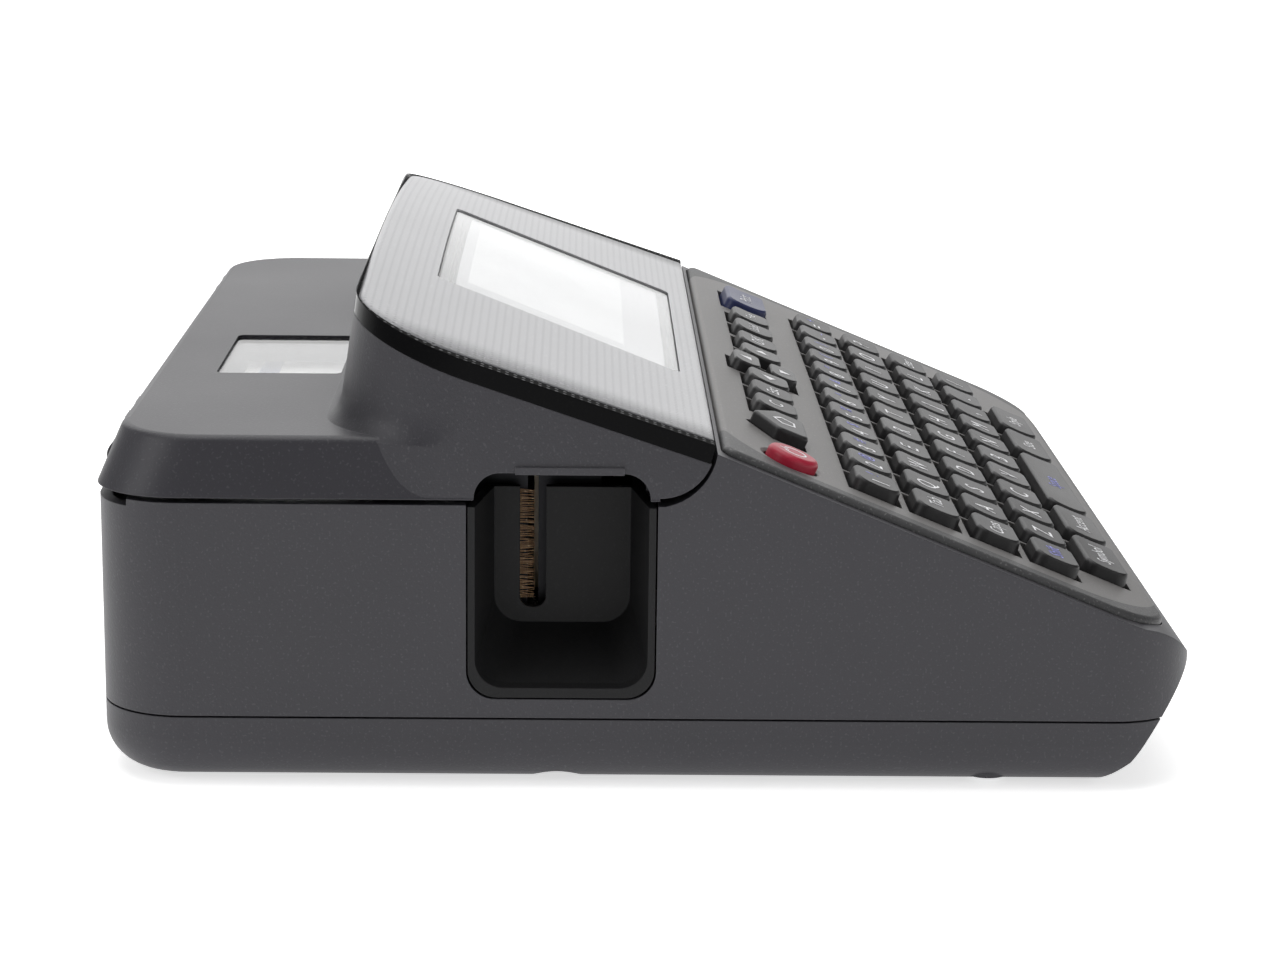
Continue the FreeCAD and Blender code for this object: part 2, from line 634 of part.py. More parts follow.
def flared_hood():
    """Display housing whose foot sweeps out onto the deck behind it."""
    deck, radius, steps, first = dim("lid_deck"), dim("flare_radius"), 6, math.radians(24)
    sweep = []
    for step in range(steps + 1):
        angle = first + (math.pi / 2 - first) * step / steps
        level = deck - 0.9 + radius * (math.cos(first) - math.cos(angle))
        sweep.append((level, radius * (1 - math.sin(angle))))
    skirt = Part.makeLoft([hood_wire(dim("lid_bottom"), sweep[0][1]), hood_wire(*sweep[0])], True, True)
    foot = Part.makeLoft([hood_wire(*place) for place in sweep], True, False)
    upper = Part.makeLoft([hood_wire(*sweep[-1]), hood_wire(dim("hood_top"), 0)], True, True)
    return skirt, foot, upper


def exit_arch():
    """The arch in the lid's side wall above the tape exit."""
    arch = rounded_block(40.0, dim("exit_front") + 1.0, 56.2, dim("exit_rear") - 1.0, 4.5, 0, 12)
    arch.rotate(Vector(0, 0, 0), Vector(0, 1, 0), -90)
    arch.translate(Vector(-92, 0, 0))
    return arch


def exit_ledge():
    """Small ledge for a finger at the top of the arch."""
    return box((-100.5, 4.4, 56.0), (-97.0, 23.0, 57.3))


def knuckle_notch(side):
    """Clearance in the rear wall of the lid for the case's knuckle."""
    start = 64.0 if side > 0 else -71.0
    return box((start, 86, 50), (start + 7.0, 99, 57.2))


def lid_knuckles(side):
    """The two knuckles of the lid, one on each side of the case's knuckle."""
    y, z, radius = dim("hinge_y"), dim("hinge_z"), dim("knuckle_radius")
    knuckles = []
    for start in ((58.6, 71.4) if side > 0 else (-64.2, -77.0)):
        length = 5.2 if abs(start) < 70 or side > 0 else 5.6
        barrel = rod(radius, (start, y, z), length, (1, 0, 0))
        web = box((start, y - radius, z), (start + length, y - 0.6, dim("lid_deck") - 1.0))
        knuckles.append(union(barrel, web))
    return knuckles


def pin_bore(side):
    """Bore of the lid's knuckles, with a running fit on the pin."""
    start = 58.0 if side > 0 else -78.0
    return rod(dim("pin_radius") + dim("running_gap"), (start, dim("hinge_y"), dim("hinge_z")), 20, (1, 0, 0))


def face_prism(x_inset, rear_inset, z_low=50, corner=None):
    """Plan of the display face as an upright prism."""
    half = dim("case_width") / 2 - 0.1 - dim("hood_lean") * 0.62 - x_inset
    radius = (corner or dim("hood_corner")) - x_inset
    return rounded_block(-half, dim("hood_front") + 0.5, half, dim("hood_rear") - 4.1 - rear_inset,
                         [1.2, 1.2, radius, radius], z_low, 100)


def make_display_trim():
    """Gloss band that lies on the lid all round the display face."""
    blank = hood_block(0, dim("lid_bottom")).cut(shoulder_cut(1.3))
    blank = blank.cut(above_face(0)).common(above_face(dim("band_height")))
    seat = face_prism(2.4, 0.6).common(above_face(dim("bezel_thick") + 0.05))
    x_low, y_low, x_high, y_high = display_opening()
    hole = rounded_block(x_low + 1.5, y_low + 1.5, x_high - 1.5, y_high - 1.5, 2, 50, 100)
    return solid("display_trim", blank.cut(seat).cut(hole))


def face_level(point):
    """Height of the display face, without its crown, at a point's place between front and rear."""
    return dim("panel_height") + (point.y - dim("panel_rear")) / dim("face_run") * dim("face_rise")


def make_display_bezel():
    """Silver plate let into the gloss band, with the window's opening."""
    blank = face_prism(2.6, 0.8).cut(above_face(0)).common(above_face(dim("bezel_thick")))
    front = dim("hood_front") + 1.5
    upper = edges_where(blank, lambda middle, edge: middle.z > face_level(middle) - 0.4 and middle.y > front)
    blank = blank.makeFillet(1.1, upper)
    x_low, y_low, x_high, y_high = display_opening()
    return solid("display_bezel", blank.cut(rounded_block(x_low, y_low, x_high, y_high, 1.6, 50, 100)))


def make_display_window():
    """Clear window set a little below the silver plate."""
    x_low, y_low, x_high, y_high = display_opening()
    gap = 0.15
    blank = rounded_block(x_low + gap, y_low + gap, x_high - gap, y_high - gap, 1.5, 50, 100)
    return solid("display_window", blank.cut(above_face(0.35)).common(above_face(dim("bezel_thick") - 0.05)))


def make_lcd_module():
    """Screen behind the window: glass and metal frame as one block, laid parallel to the face."""
    x_low, y_low, x_high, y_high = display_opening()
    module = rounded_block(x_low + 3, y_low + 3, x_high - 3, y_high - 3, 1.0, 40, 100)
    return solid("lcd_module", module.cut(above_face(1.7)).common(above_face(5.6)))


def make_lid_window():
    """Clear plate in the deck over the cassette."""
    sides = ("window_left + pane_gap", "window_front + pane_gap",
             "window_right - pane_gap", "window_rear - pane_gap")
    return slab("lid_window", sides, 1.4, "lid_deck - 1.9", 1.4)


# ---------------------------------------------------------------- tape exit


def make_exit_frame():
    """Funnel-shaped insert: lip in the case's side, walls that draw in, back wall with the tape's slot."""
    half, depth, lip = dim("case_width") / 2, dim("exit_depth"), dim("exit_lip")
    front, rear, bottom = dim("exit_front"), dim("exit_rear"), dim("exit_bottom")
    top = 50.3

    def section(inset, floor, x):
        wire = rounded_wire(floor, front + inset, 60.0, rear - inset, [5.0, 1.0, 1.0, 5.0], 0)
        wire.rotate(Vector(0, 0, 0), Vector(0, 1, 0), -90)
        wire.translate(Vector(x, 0, 0))
        return wire

    outer = Part.makeLoft([section(0, bottom, -half), section(0, bottom, -half + 1.6),
                           section(2.4, bottom + 6.4, -half + depth)], True, True)
    inner = Part.makeLoft([section(lip, bottom + 1.6, -half - 0.5),
                           section(lip + 0.4, bottom + 2.2, -half + 1.6),
                           section(lip + 3.0, bottom + 9.2, -half + depth - 1.6)], True, True)
    funnel = outer.cut(inner)
    slot = rounded_block(dim("slot_bottom"), dim("tape_y") - dim("slot_width") / 2, 70,
                         dim("tape_y") + dim("slot_width") / 2, 2.0, 0, 6)
    slot.rotate(Vector(0, 0, 0), Vector(0, 1, 0), -90)
    slot.translate(Vector(-half + depth + 2, 0, 0))
    funnel = funnel.cut(slot)
    return solid("exit_frame", funnel.common(box((-120, -20, 0), (0, 60, top))))


def make_exit_brush():
    """Comb of short bristles along the rear side of the slot."""
    x, y = "-case_width / 2 + exit_depth", "tape_y + slot_width / 2"
    spine = brick("brush_spine", (f"{x} + 0.05", f"{y} + 0.2", 28.8), (1.3, 2.2, 21.2))
    teeth = [drum(f"bristle_{index}", 0.32, 3.4, (f"{x} + 0.7", f"{y} - 3.0", 29.4 + index * 0.8), "y")
             for index in range(26)]
    return keep(fused("exit_brush", spine, *teeth), "exit_brush")


# ---------------------------------------------------------------- print mechanism


def gear_shape(teeth, x, y, z, thick, bore, turn=0.0, rack_slack=0.12):
    """Spur gear with straight-flanked teeth on the involute's mean line and a little backlash."""
    module = dim("gear_module")
    pitch_radius = module * teeth / 2
    pressure = math.radians(20)
    base = pitch_radius * math.cos(pressure)
    involute = math.tan(pressure) - pressure
    tip, root = pitch_radius + 0.92 * module, pitch_radius - 1.2 * module
    half_tooth = math.pi / (2 * teeth) - rack_slack / (2 * pitch_radius)

    def half_angle(radius):
        if radius <= base:
            return half_tooth + involute
        angle = math.acos(base / radius)
        return half_tooth + involute - (math.tan(angle) - angle)

    start = max(base, root)
    radii = [root] + [start + (tip - start) * step / 3 for step in range(4)]
    points = []
    for tooth in range(int(teeth)):
        middle = 2 * math.pi * tooth / teeth + turn
        for radius in radii:
            angle = middle - half_angle(radius)
            points.append(Vector(x + radius * math.cos(angle), y + radius * math.sin(angle), z))
        for radius in reversed(radii):
            angle = middle + half_angle(radius)
            points.append(Vector(x + radius * math.cos(angle), y + radius * math.sin(angle), z))
    wheel = Part.Face(Part.makePolygon(points + points[:1])).extrude(Vector(0, 0, thick))
    return wheel.cut(rod(bore, (x, y, z - 1), thick + 2))


def mesh_places():
    """Axes of the feed train: the idler lies in line with the direction in which the platen is released."""
    module = dim("gear_module")
    platen = Vector(dim("platen_x"), dim("platen_y"), 0)
    direction = Vector(0.222, -0.975, 0).normalize()
    idler = platen + direction * module * (dim("platen_teeth") + dim("idler_teeth")) / 2
    sideways = Vector(0.987, -0.163, 0).normalize()
    pinion = idler + sideways * module * (dim("idler_teeth") + dim("pinion_teeth")) / 2
    return platen, idler, pinion


def mesh_turn(teeth, own, other, other_teeth, other_turn):
    """Angle at which a gear's gap faces the tooth of the gear that it meets."""
    towards = math.atan2(own.y - other.y, own.x - other.x)
    phase = (towards - other_turn) * other_teeth / (2 * math.pi)
    fraction = phase - math.floor(phase)
    back = towards + math.pi
    return back + (fraction + 0.5) * 2 * math.pi / teeth


def make_print_chassis():
    """Metal plate that carries the motor, the gear pins, the head and the blade."""
    level, thick = dim("plate_level"), dim("plate_thick")
    platen, idler, pinion = mesh_places()
    plate = rounded_block(-82, -9.0, -29.6, 50, 2.5, level, level + thick)
    plate = plate.cut(rod(3.0, (pinion.x, pinion.y, level - 1), 4))
    plate = plate.cut(rod(3.0, (dim("cutter_x"), dim("cutter_y"), level - 1), 4))
    idler_pin = rod(1.0, (idler.x, idler.y, level), 6.0)
    arm_pin = rod(1.5, (*arm_pivot(), level), 36.0)
    x, y = dim("platen_x"), dim("platen_y")
    bracket = box((x - 9.6, y - 9.8, level), (x - 6.6, y - 6.3, 53.0))
    return solid("print_chassis", union(plate, idler_pin, arm_pin, bracket))


def arm_pivot():
    """Axis of the roller holder, square to the direction of release."""
    return (dim("platen_x") + 15.6, dim("platen_y") + 3.55)


def make_roller_holder():
    """Arm that carries the platen roller and swings away from the head."""
    x, y = dim("platen_x"), dim("platen_y")
    pivot_x, pivot_y = arm_pivot()

    def bar(z_low, z_high):
        ends = [rod(3.4, (*place, z_low), z_high - z_low) for place in ((x, y), (pivot_x, pivot_y))]
        link = box((x, y - 0.2, z_low), (pivot_x, y + 5.4, z_high))
        return union(*ends, link)

    arm = union(bar(24.6, 26.6), bar(51.6, 53.4), box((x + 7.6, y + 2.4, 24.6), (pivot_x - 2, y + 5.4, 53.4)))
    arm = arm.cut(rod(1.5 + dim("running_gap"), (pivot_x, pivot_y, 20), 40))
    return solid("roller_holder", arm.cut(rod(1.25 + dim("running_gap"), (x, y, 20), 40)))


def make_platen_roller():
    """Rubber roller on its steel shaft."""
    sleeve = drum("roller_sleeve", "platen_radius", 24.2, ("platen_x", "platen_y", 27.0))
    shaft = drum("roller_shaft", 1.25, 34.0, ("platen_x", "platen_y", 20.0))
    return keep(fused("platen_roller", sleeve, shaft), "platen_roller")


def make_feed_gears():
    """Pinion on the motor, idler and the gear on the platen's shaft."""
    platen, idler, pinion = mesh_places()
    level, thick = dim("gear_level"), dim("gear_thick")
    idler_turn = 0.0
    platen_turn = mesh_turn(dim("platen_teeth"), platen, idler, dim("idler_teeth"), idler_turn)
    pinion_turn = mesh_turn(dim("pinion_teeth"), pinion, idler, dim("idler_teeth"), idler_turn)
    wheel = gear_shape(dim("idler_teeth"), idler.x, idler.y, level, thick, 1.05, idler_turn)
    solid("idler_gear", wheel)
    wheel = gear_shape(dim("platen_teeth"), platen.x, platen.y, level + 0.3, thick, 1.25, platen_turn)
    solid("platen_gear", wheel)
    wheel = gear_shape(dim("pinion_teeth"), pinion.x, pinion.y, level, thick, 0.9, pinion_turn)
    solid("motor_pinion", union(wheel, rod(1.0, (pinion.x, pinion.y, 12.2), 11.4)))
    motor = union(rod(10.0, (pinion.x, pinion.y, 4.4), 13.0), rod(2.6, (pinion.x, pinion.y, 17.4), 1.4))
    motor = motor.cut(rod(1.0 + dim("running_gap"), (pinion.x, pinion.y, 12.0), 9))
    return solid("feed_motor", motor)


def make_print_head():
    """Ceramic head plate on an upright heat sink."""
    face = "platen_y - platen_radius - 0.25"
    keep(brick("print_head", ("platen_x - 5", f"{face} - 1.0", 27.4), (10, 1, 23.6)), "print_head")
    fin = brick("sink_block", ("platen_x - 6.6", f"{face} - 4.6", 24.8), (12.6, 3.6, 28.2))
    grooves = []
    for index in range(6):
        corner = ("platen_x - 7", f"{face} - 5", 29.0 + 3.6 * index)
        grooves.append(brick(f"sink_groove_{index}", corner, (14, 2, 1.8)))
    return keep(less("heat_sink", fin, grouped("sink_grooves", grooves)), "heat_sink")


def make_cutter():
    """Fixed blade, sliding blade with its rack, the gear that drives it and its motor."""
    edge = dim("tape_y")
    plate_top = "plate_level + plate_thick"
    upright = brick("fixed_edge", (-80.2, "tape_y - 12", plate_top), (1.0, 11.1, f"52.5 - ({plate_top})"))
    flange = brick("fixed_flange", (-80.2, "tape_y - 12", plate_top), (5.2, 7.0, 1.0))
    keep(fused("fixed_blade", upright, flange), "fixed_blade")
    module, teeth = dim("gear_module"), dim("cutter_teeth")
    radius = module * teeth / 2
    gear_x, gear_y = dim("cutter_x"), dim("cutter_y")
    level = dim("gear_level") + 0.4
    solid("cutter_gear", gear_shape(teeth, gear_x, gear_y, level, 3.4, 1.0, math.pi))
    pitch = math.pi * module
    line = gear_x - radius
    points = [Vector(line - 3.0, gear_y - 9.5 * pitch / 2, level)]
    count = 9
    for index in range(-count // 2 + 1, count // 2 + 1):
        centre = gear_y + (index - 0.5) * pitch
        for shift, reach in ((-0.36, -1.2), (-0.14, 0.9), (0.14, 0.9), (0.36, -1.2)):
            points.append(Vector(line + reach * module, centre + shift * pitch * 0.94, level))
    points.append(Vector(line - 3.0, points[-1].y, level))
    points[0].y = points[1].y
    rack = Part.Face(Part.makePolygon(points + points[:1])).extrude(Vector(0, 0, 3.4))
    blade = box((-81.4, edge + 1.0, level), (-80.4, edge + 14.0, 52.0))
    bridge = box((-81.4, edge + 5.0, level), (line - 2.4, edge + 16.0, level + 3.4))
    solid("cutter_blade", union(rack, blade, bridge))
    can = brick("cutter_can", ("cutter_x - 5", "cutter_y - 6", 4.0), (10, 12, 13.4))
    collar = drum("cutter_collar", 2.6, 1.4, ("cutter_x", "cutter_y", 17.4))
    shaft = drum("cutter_shaft", 0.96, 4.6, ("cutter_x", "cutter_y", 18.0))
    return keep(fused("cutter_motor", can, collar, shaft), "cutter_motor")


def make_cassette():
    """Cassette shell with the spool of label tape inside it, and the tub that they sit in."""
    left, right, front, back = dim("bay_left"), dim("bay_right"), dim("bay_front"), dim("bay_back")
    wall, floor = dim("bay_wall"), dim("bay_floor")
    tub = rounded_block(left, front, right, back, 2.5, floor, dim("deck_under_lid"))
    tub = tub.cut(rounded_block(left + wall, front + wall, right - wall, back - wall, 1.2, floor + wall, 60))
    tub = tub.cut(box((left - 1, 8, floor + wall), (left + wall + 0.1, 46, 60)))
    solid("cassette_bay", tub)
    x, y = left + wall + 0.4, front + wall + 0.4
    width, length, low = dim("cassette_width"), dim("cassette_length") - 1.0, floor + wall + 0.2
    shell = rounded_block(x, y, x + width, y + length, 4.0, low, low + dim("cassette_height"))
    rim = edges_where(shell, lambda middle, edge: middle.z > low + dim("cassette_height") - 0.01)
    shell = shell.makeFillet(0.8, rim)
    spool_x, spool_y = x + width / 2, y + length - 30.0
    room = rod(24.6, (spool_x, spool_y, low + 1.2), dim("cassette_height") - 2.4)
    hub = rod(5.0 - dim("running_gap"), (spool_x, spool_y, low + 1), dim("cassette_height"))
    shell = shell.cut(room.cut(hub)).cut(rod(3.4, (spool_x, spool_y, low - 1), 40))
    shell = shell.cut(rod(3.6, (x + 14, y + 12, low - 1), 40))
    solid("cassette_shell", shell)
    axis_x = "bay_left + bay_wall + 0.4 + cassette_width / 2"
    axis_y = "bay_front + bay_wall + 0.4 + cassette_length - 31"
    roll = drum("tape_roll", 22.5, 24.0, (axis_x, axis_y, "bay_floor + bay_wall + 1.7"))
    bore = drum("tape_bore", 5.0, 40.0, (axis_x, axis_y, "bay_floor + bay_wall + 0.2"))
    return keep(less("label_spool", roll, bore), "label_spool")


# ---------------------------------------------------------------- power and electronics


def battery_places():
    """Each cell's end in words, x and y, and whether the cell is turned round."""
    places = []
    for line in range(3):
        y = f"42.2 + {line} * battery_pitch"
        places += [("-29.6", y, line % 2), ("-29.6 + battery_length + 1.4", y, line % 2)]
    return places


def make_batteries():
    """Six cells in two columns."""
    cells = []
    z = "2.6 + battery_radius"
    for index, (x, y, turned) in enumerate(battery_places()):
        can_start, pole_start = (f"{x} + 1.2", x) if turned else (x, f"{x} + battery_length - 1.3")
        can = drum(f"cell_can_{index}", "battery_radius", "battery_length - 1.2", (can_start, y, z), "x")
        pole = drum(f"cell_pole_{index}", 2.6, 1.3, (pole_start, y, z), "x")
        cells.append(fused(f"cell_{index}", can, pole))
    return keep(grouped("batteries", cells), "batteries")


def make_battery_contacts():
    """Spring plates at both ends of the battery well."""
    plates = []
    for line in range(3):
        y = f"37.2 + {line} * battery_pitch"
        plates.append(brick(f"left_contact_{line}", (-31.9, y, 4.5), (0.5, 10, 6.9)))
        plates.append(brick(f"right_contact_{line}", ("-27.9 + 2 * battery_length", y, 4.5), (0.5, 10, 6.9)))
    return keep(grouped("battery_contacts", plates), "battery_contacts")


def make_battery_cover():
    """Flat cover of the battery well, hooked at its front edge, with a latch tongue at its rear edge."""
    low = dim("foot_gap")
    left, right, front, back = battery_well()
    plate = rounded_block(left - 2.7, front - 2.3, right + 2.7, back + 3.3, 0.8, low + 0.1, low + 1.8)
    grooves = [box((12 + 2.4 * index, 74, low), (13.2 + 2.4 * index, 82, low + 0.6)) for index in range(9)]
    return solid("battery_cover", plate.cut(Part.makeCompound(grooves)))


def make_boards():
    """Main circuit board with its larger components, and the two sockets at its rear edge."""
    board = rounded_block(24, -2, 85, 84, 1.5, 26.0, 27.6)
    chips = [box((34, 12, 27.6), (48, 26, 29.2)), box((56, 16, 27.6), (64, 22, 29.0)),
             box((38, 40, 27.6), (44, 48, 28.8)), box((60, 52, 27.6), (76, 62, 33.6)),
             rod(4.0, (68, 40, 27.6), 9.0), rod(4.0, (78, 40, 27.6), 9.0)]
    header = box((28, 4, 27.6), (30.4, 34, 33.0))
    solid("main_board", union(board, header, *chips))
    housing = fused("jack_housing", brick("jack_block", (46.5, 80, 15.0), (11, 12.6, 10.9)),
                    drum("jack_nose", 5.2, 2.4, (52, 92.6, 20.5), "y"))
    hollow = less("jack_hollow", housing, drum("jack_bore", 3.2, 14, (52, 84, 20.5), "y"))
    keep(fused("dc_socket", hollow, drum("jack_pin", 1.0, 10, (52, 83.8, 20.5), "y")), "dc_socket")
    port = less("port_hollow", brick("port_shell", (68.0, 79, 15.6), (12, 15.6, 10.3)),
                brick("port_room", (69.2, 84, 17.0), (9.6, 12, 7.6)))
    tongue = brick("port_tongue", (71.2, 83.8, 19.6), (5.6, 8.8, 2.4))
    return keep(fused("usb_socket", port, tongue), "usb_socket")


def make_feet():
    """Round rubber feet let into the bottom."""
    feet = [drum(f"foot_{index}", "foot_radius", "foot_gap + 0.7", (x, y, 0))
            for index, (x, y) in enumerate(foot_places())]
    return keep(grouped("rubber_feet", feet), "rubber_feet")


def make_screws():
    """Cross-headed screws that join the two shells from below."""
    screws = []
    for index, (x, y) in enumerate(screw_places()):
        head = drum(f"screw_head_{index}", 2.8, 1.7, (x, y, 1.6))
        bars = [brick(f"cross_long_{index}", (x - 0.4, y - 2.2, 1.4), (0.8, 4.4, 1.0)),
                brick(f"cross_wide_{index}", (x - 2.2, y - 0.4, 1.4), (4.4, 0.8, 1.0))]
        cross = fused(f"screw_cross_{index}", *bars)
        shank = drum(f"screw_shank_{index}", "screw_radius", 17.0, (x, y, 3.2))
        screws.append(fused(f"screw_{index}", less(f"screw_top_{index}", head, cross), shank))
    return keep(grouped("case_screws", screws), "case_screws")


def make_hinge_pins():
    """Steel pins of the lid's hinge, held in the case's knuckles."""
    pins = [drum(name, "pin_radius", 17.4, (start, "hinge_y", "hinge_z"), "x")
            for name, start in (("right_pin", 59.0), ("left_pin", -76.4))]
    return keep(grouped("hinge_pins", pins), "hinge_pins")


def check_and_write():
    """Checks every object and every sub-part, then writes one STEP file for each sub-part."""
    doc.recompute()
    for item in doc.Objects:
        if "Invalid" in item.State or "Error" in item.State:
            raise RuntimeError(f"{item.Name} failed: {item.State}")
    os.makedirs("parts", exist_ok=True)
    for item in nodes:
        shape = item.Shape
        if shape.isNull() or not shape.isValid() or not shape.Solids:
            raise RuntimeError(f"{item.Label} has no valid solid")
        print(f"{item.Label:22s} solids {len(shape.Solids):3d}  volume {shape.Volume / 1000:9.2f} cm3")
        shape.exportStep(f"parts/{item.Label}.step")
    print(len(nodes), "sub-parts")


make_bottom_case()
make_main_case()
make_keyboard_panel()
make_power_key()
make_home_key()
make_keys()
make_key_mat()
make_keyboard_board()
make_top_lid()
make_display_trim()
make_display_bezel()
make_display_window()
make_lcd_module()
make_lid_window()
make_exit_frame()
make_exit_brush()
make_print_chassis()
make_roller_holder()
make_platen_roller()
make_feed_gears()
make_print_head()
make_cutter()
make_cassette()
make_batteries()
make_battery_contacts()
make_battery_cover()
make_boards()
make_feet()
make_screws()
make_hinge_pins()
check_and_write()
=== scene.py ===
import math
import random

import bpy
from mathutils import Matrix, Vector


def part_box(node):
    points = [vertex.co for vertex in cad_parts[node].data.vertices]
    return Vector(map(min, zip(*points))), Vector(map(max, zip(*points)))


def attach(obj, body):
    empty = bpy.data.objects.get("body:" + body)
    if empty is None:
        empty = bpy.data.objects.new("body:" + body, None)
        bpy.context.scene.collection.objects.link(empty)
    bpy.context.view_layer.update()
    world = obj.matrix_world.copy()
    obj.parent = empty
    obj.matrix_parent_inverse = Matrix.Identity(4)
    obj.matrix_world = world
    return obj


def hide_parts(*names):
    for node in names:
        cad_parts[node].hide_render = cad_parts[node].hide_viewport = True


# A desktop label maker: grey moulded case, sloping black keyboard, silver display face on a hinged lid,
# and a recess in the left side where the label comes out. Metres, +Z up, the keyboard towards -Y.

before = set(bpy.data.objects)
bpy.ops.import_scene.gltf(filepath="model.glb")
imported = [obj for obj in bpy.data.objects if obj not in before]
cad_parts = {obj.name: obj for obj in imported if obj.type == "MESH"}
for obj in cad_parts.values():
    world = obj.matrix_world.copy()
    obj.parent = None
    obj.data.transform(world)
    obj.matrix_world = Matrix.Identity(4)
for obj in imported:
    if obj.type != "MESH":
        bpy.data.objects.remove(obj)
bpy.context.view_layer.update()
MM = 0.001

# ---------------------------------------------------------------- camera
# The camera looks at the left side of the machine, a little from above, so that the recess of the label
# slot is in the middle and the keyboard falls away to the right.

bpy.ops.object.camera_add(
    location=(-0.60794, 0.01189, 0.17388),
    rotation=(math.radians(76.849), math.radians(-0.701), math.radians(-90.976)),
)
camera = bpy.context.object
camera.data.lens = 86.2
camera.data.clip_start = 0.01
bpy.context.scene.camera = camera

# ---------------------------------------------------------------- case shells
# Bottom shell, upper shell, lid and battery cover: injection-moulded grey ABS with a fine sparked texture.
# The shells are screwed together from below; the lid hangs on two steel pins at the rear.


def put(tree, kind, inputs=None, **settings):
    """Adds a node. An input given as a socket is linked, and any other value is set on the socket."""
    node = tree.nodes.new(kind)
    for name, value in settings.items():
        setattr(node, name, value)
    for name, value in (inputs or {}).items():
        if isinstance(value, bpy.types.NodeSocket):
            tree.links.new(value, node.inputs[name])
        else:
            node.inputs[name].default_value = value
    return node


def effect(name, inputs, outputs):
    """A new shader node group with named sockets: (group, its input node, its output node)."""
    group = bpy.data.node_groups.new(name, "ShaderNodeTree")
    for label, kind, value in inputs:
        socket = group.interface.new_socket(label, in_out="INPUT", socket_type=kind)
        socket.default_value = value
    for label, kind in outputs:
        group.interface.new_socket(label, in_out="OUTPUT", socket_type=kind)
    return group, put(group, "NodeGroupInput"), put(group, "NodeGroupOutput")


def new_finish(name, **values):
    """A material with plain values set on its shader's own sockets: (material, node tree, shader)."""
    material = bpy.data.materials.new(name)
    material.use_nodes = True
    tree = material.node_tree
    shader = tree.nodes["Principled BSDF"]
    for label, value in values.items():
        shader.inputs[label.replace("_", " ")].default_value = value
    return material, tree, shader


def colour(red, green, blue):
    """A colour given as 0-255 display values, as the linear RGBA that a socket takes."""
    linear = [(part / 255 / 12.92) if part < 11 else ((part / 255 + 0.055) / 1.055) ** 2.4
              for part in (red, green, blue)]
    return (*linear, 1.0)


def dress(material, *names):
    """Gives the CAD nodes of these names a material."""
    for name in names:
        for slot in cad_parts[name].material_slots:
            slot.material = material


def blend_tints(tree, factor, first, second):
    """Mixes two colours by a factor from 0 to 1 and gives the mixed colour's socket."""
    return put(tree, "ShaderNodeMix", {0: factor, 6: first, 7: second}, data_type="RGBA").outputs[2]


def calc(tree, operation, first, second=0.0):
    """One sum on two numbers or sockets."""
    return put(tree, "ShaderNodeMath", {0: first, 1: second}, operation=operation).outputs[0]


def ramp(tree, value, low, high, bottom=0.0, top=1.0):
    """Maps a value between low and high onto bottom to top, held at its ends."""
    return put(tree, "ShaderNodeMapRange", {"Value": value, "From Min": low, "From Max": high,
                                            "To Min": bottom, "To Max": top}).outputs[0]


FLOAT, TINT, DIRECTION = "NodeSocketFloat", "NodeSocketColor", "NodeSocketVector"

moulded_skin, inlet, outlet = effect(
    "moulded skin",
    [("Colour", TINT, (0.1, 0.1, 0.1, 1)), ("Fleck Colour", TINT, (0.2, 0.2, 0.2, 1)), ("Flecks", FLOAT, 0.3),
     ("Grain Size", FLOAT, 0.0004), ("Grain Depth", FLOAT, 0.3), ("Roughness", FLOAT, 0.5),
     ("Unevenness", FLOAT, 0.08), ("Painted Edge Highlight", FLOAT, 0.3)],
    [("Colour", TINT), ("Roughness", FLOAT), ("Normal", DIRECTION)],
)
place = put(moulded_skin, "ShaderNodeTexCoord").outputs["Object"]
fineness = calc(moulded_skin, "DIVIDE", 1.0, inlet.outputs["Grain Size"])
pits = put(moulded_skin, "ShaderNodeTexNoise", {"Vector": place, "Scale": fineness, "Detail": 2.0}).outputs["Fac"]
cloud = put(moulded_skin, "ShaderNodeTexNoise", {"Vector": place, "Scale": 22.0, "Detail": 3.0}).outputs["Fac"]
specks = put(moulded_skin, "ShaderNodeTexNoise", {"Vector": place, "Scale": 2300.0, "Detail": 0.0}).outputs["Fac"]
share = calc(moulded_skin, "MULTIPLY", ramp(moulded_skin, specks, 0.66, 0.80), inlet.outputs["Flecks"])
toned = put(moulded_skin, "ShaderNodeVectorMath", {0: inlet.outputs["Colour"],
            "Scale": ramp(moulded_skin, cloud, 0.3, 0.7, 0.94, 1.06)}, operation="SCALE").outputs[0]
tint = blend_tints(moulded_skin, share, toned, inlet.outputs["Fleck Colour"])
# The edge mask below paints the tint lighter along every edge: a painted highlight of the rounded edges.
softened = put(moulded_skin, "ShaderNodeBevel", {"Radius": 0.00025}, samples=4).outputs[0]
likeness = put(moulded_skin, "ShaderNodeVectorMath",
               {0: softened, 1: put(moulded_skin, "ShaderNodeNewGeometry").outputs["Normal"]},
               operation="DOT_PRODUCT").outputs["Value"]
edges = calc(moulded_skin, "MULTIPLY", ramp(moulded_skin, likeness, 0.99, 0.86), inlet.outputs["Painted Edge Highlight"])
tint = blend_tints(moulded_skin, edges, tint, inlet.outputs["Fleck Colour"])
swing = calc(moulded_skin, "MULTIPLY", calc(moulded_skin, "SUBTRACT", cloud, 0.5), inlet.outputs["Unevenness"])
gloss = calc(moulded_skin, "ADD", inlet.outputs["Roughness"], swing)
bump = put(moulded_skin, "ShaderNodeBump", {"Strength": inlet.outputs["Grain Depth"], "Distance": 0.0001,
                                            "Height": pits, "Normal": softened})
moulded_skin.links.new(tint, outlet.inputs["Colour"])
moulded_skin.links.new(gloss, outlet.inputs["Roughness"])
moulded_skin.links.new(bump.outputs[0], outlet.inputs["Normal"])


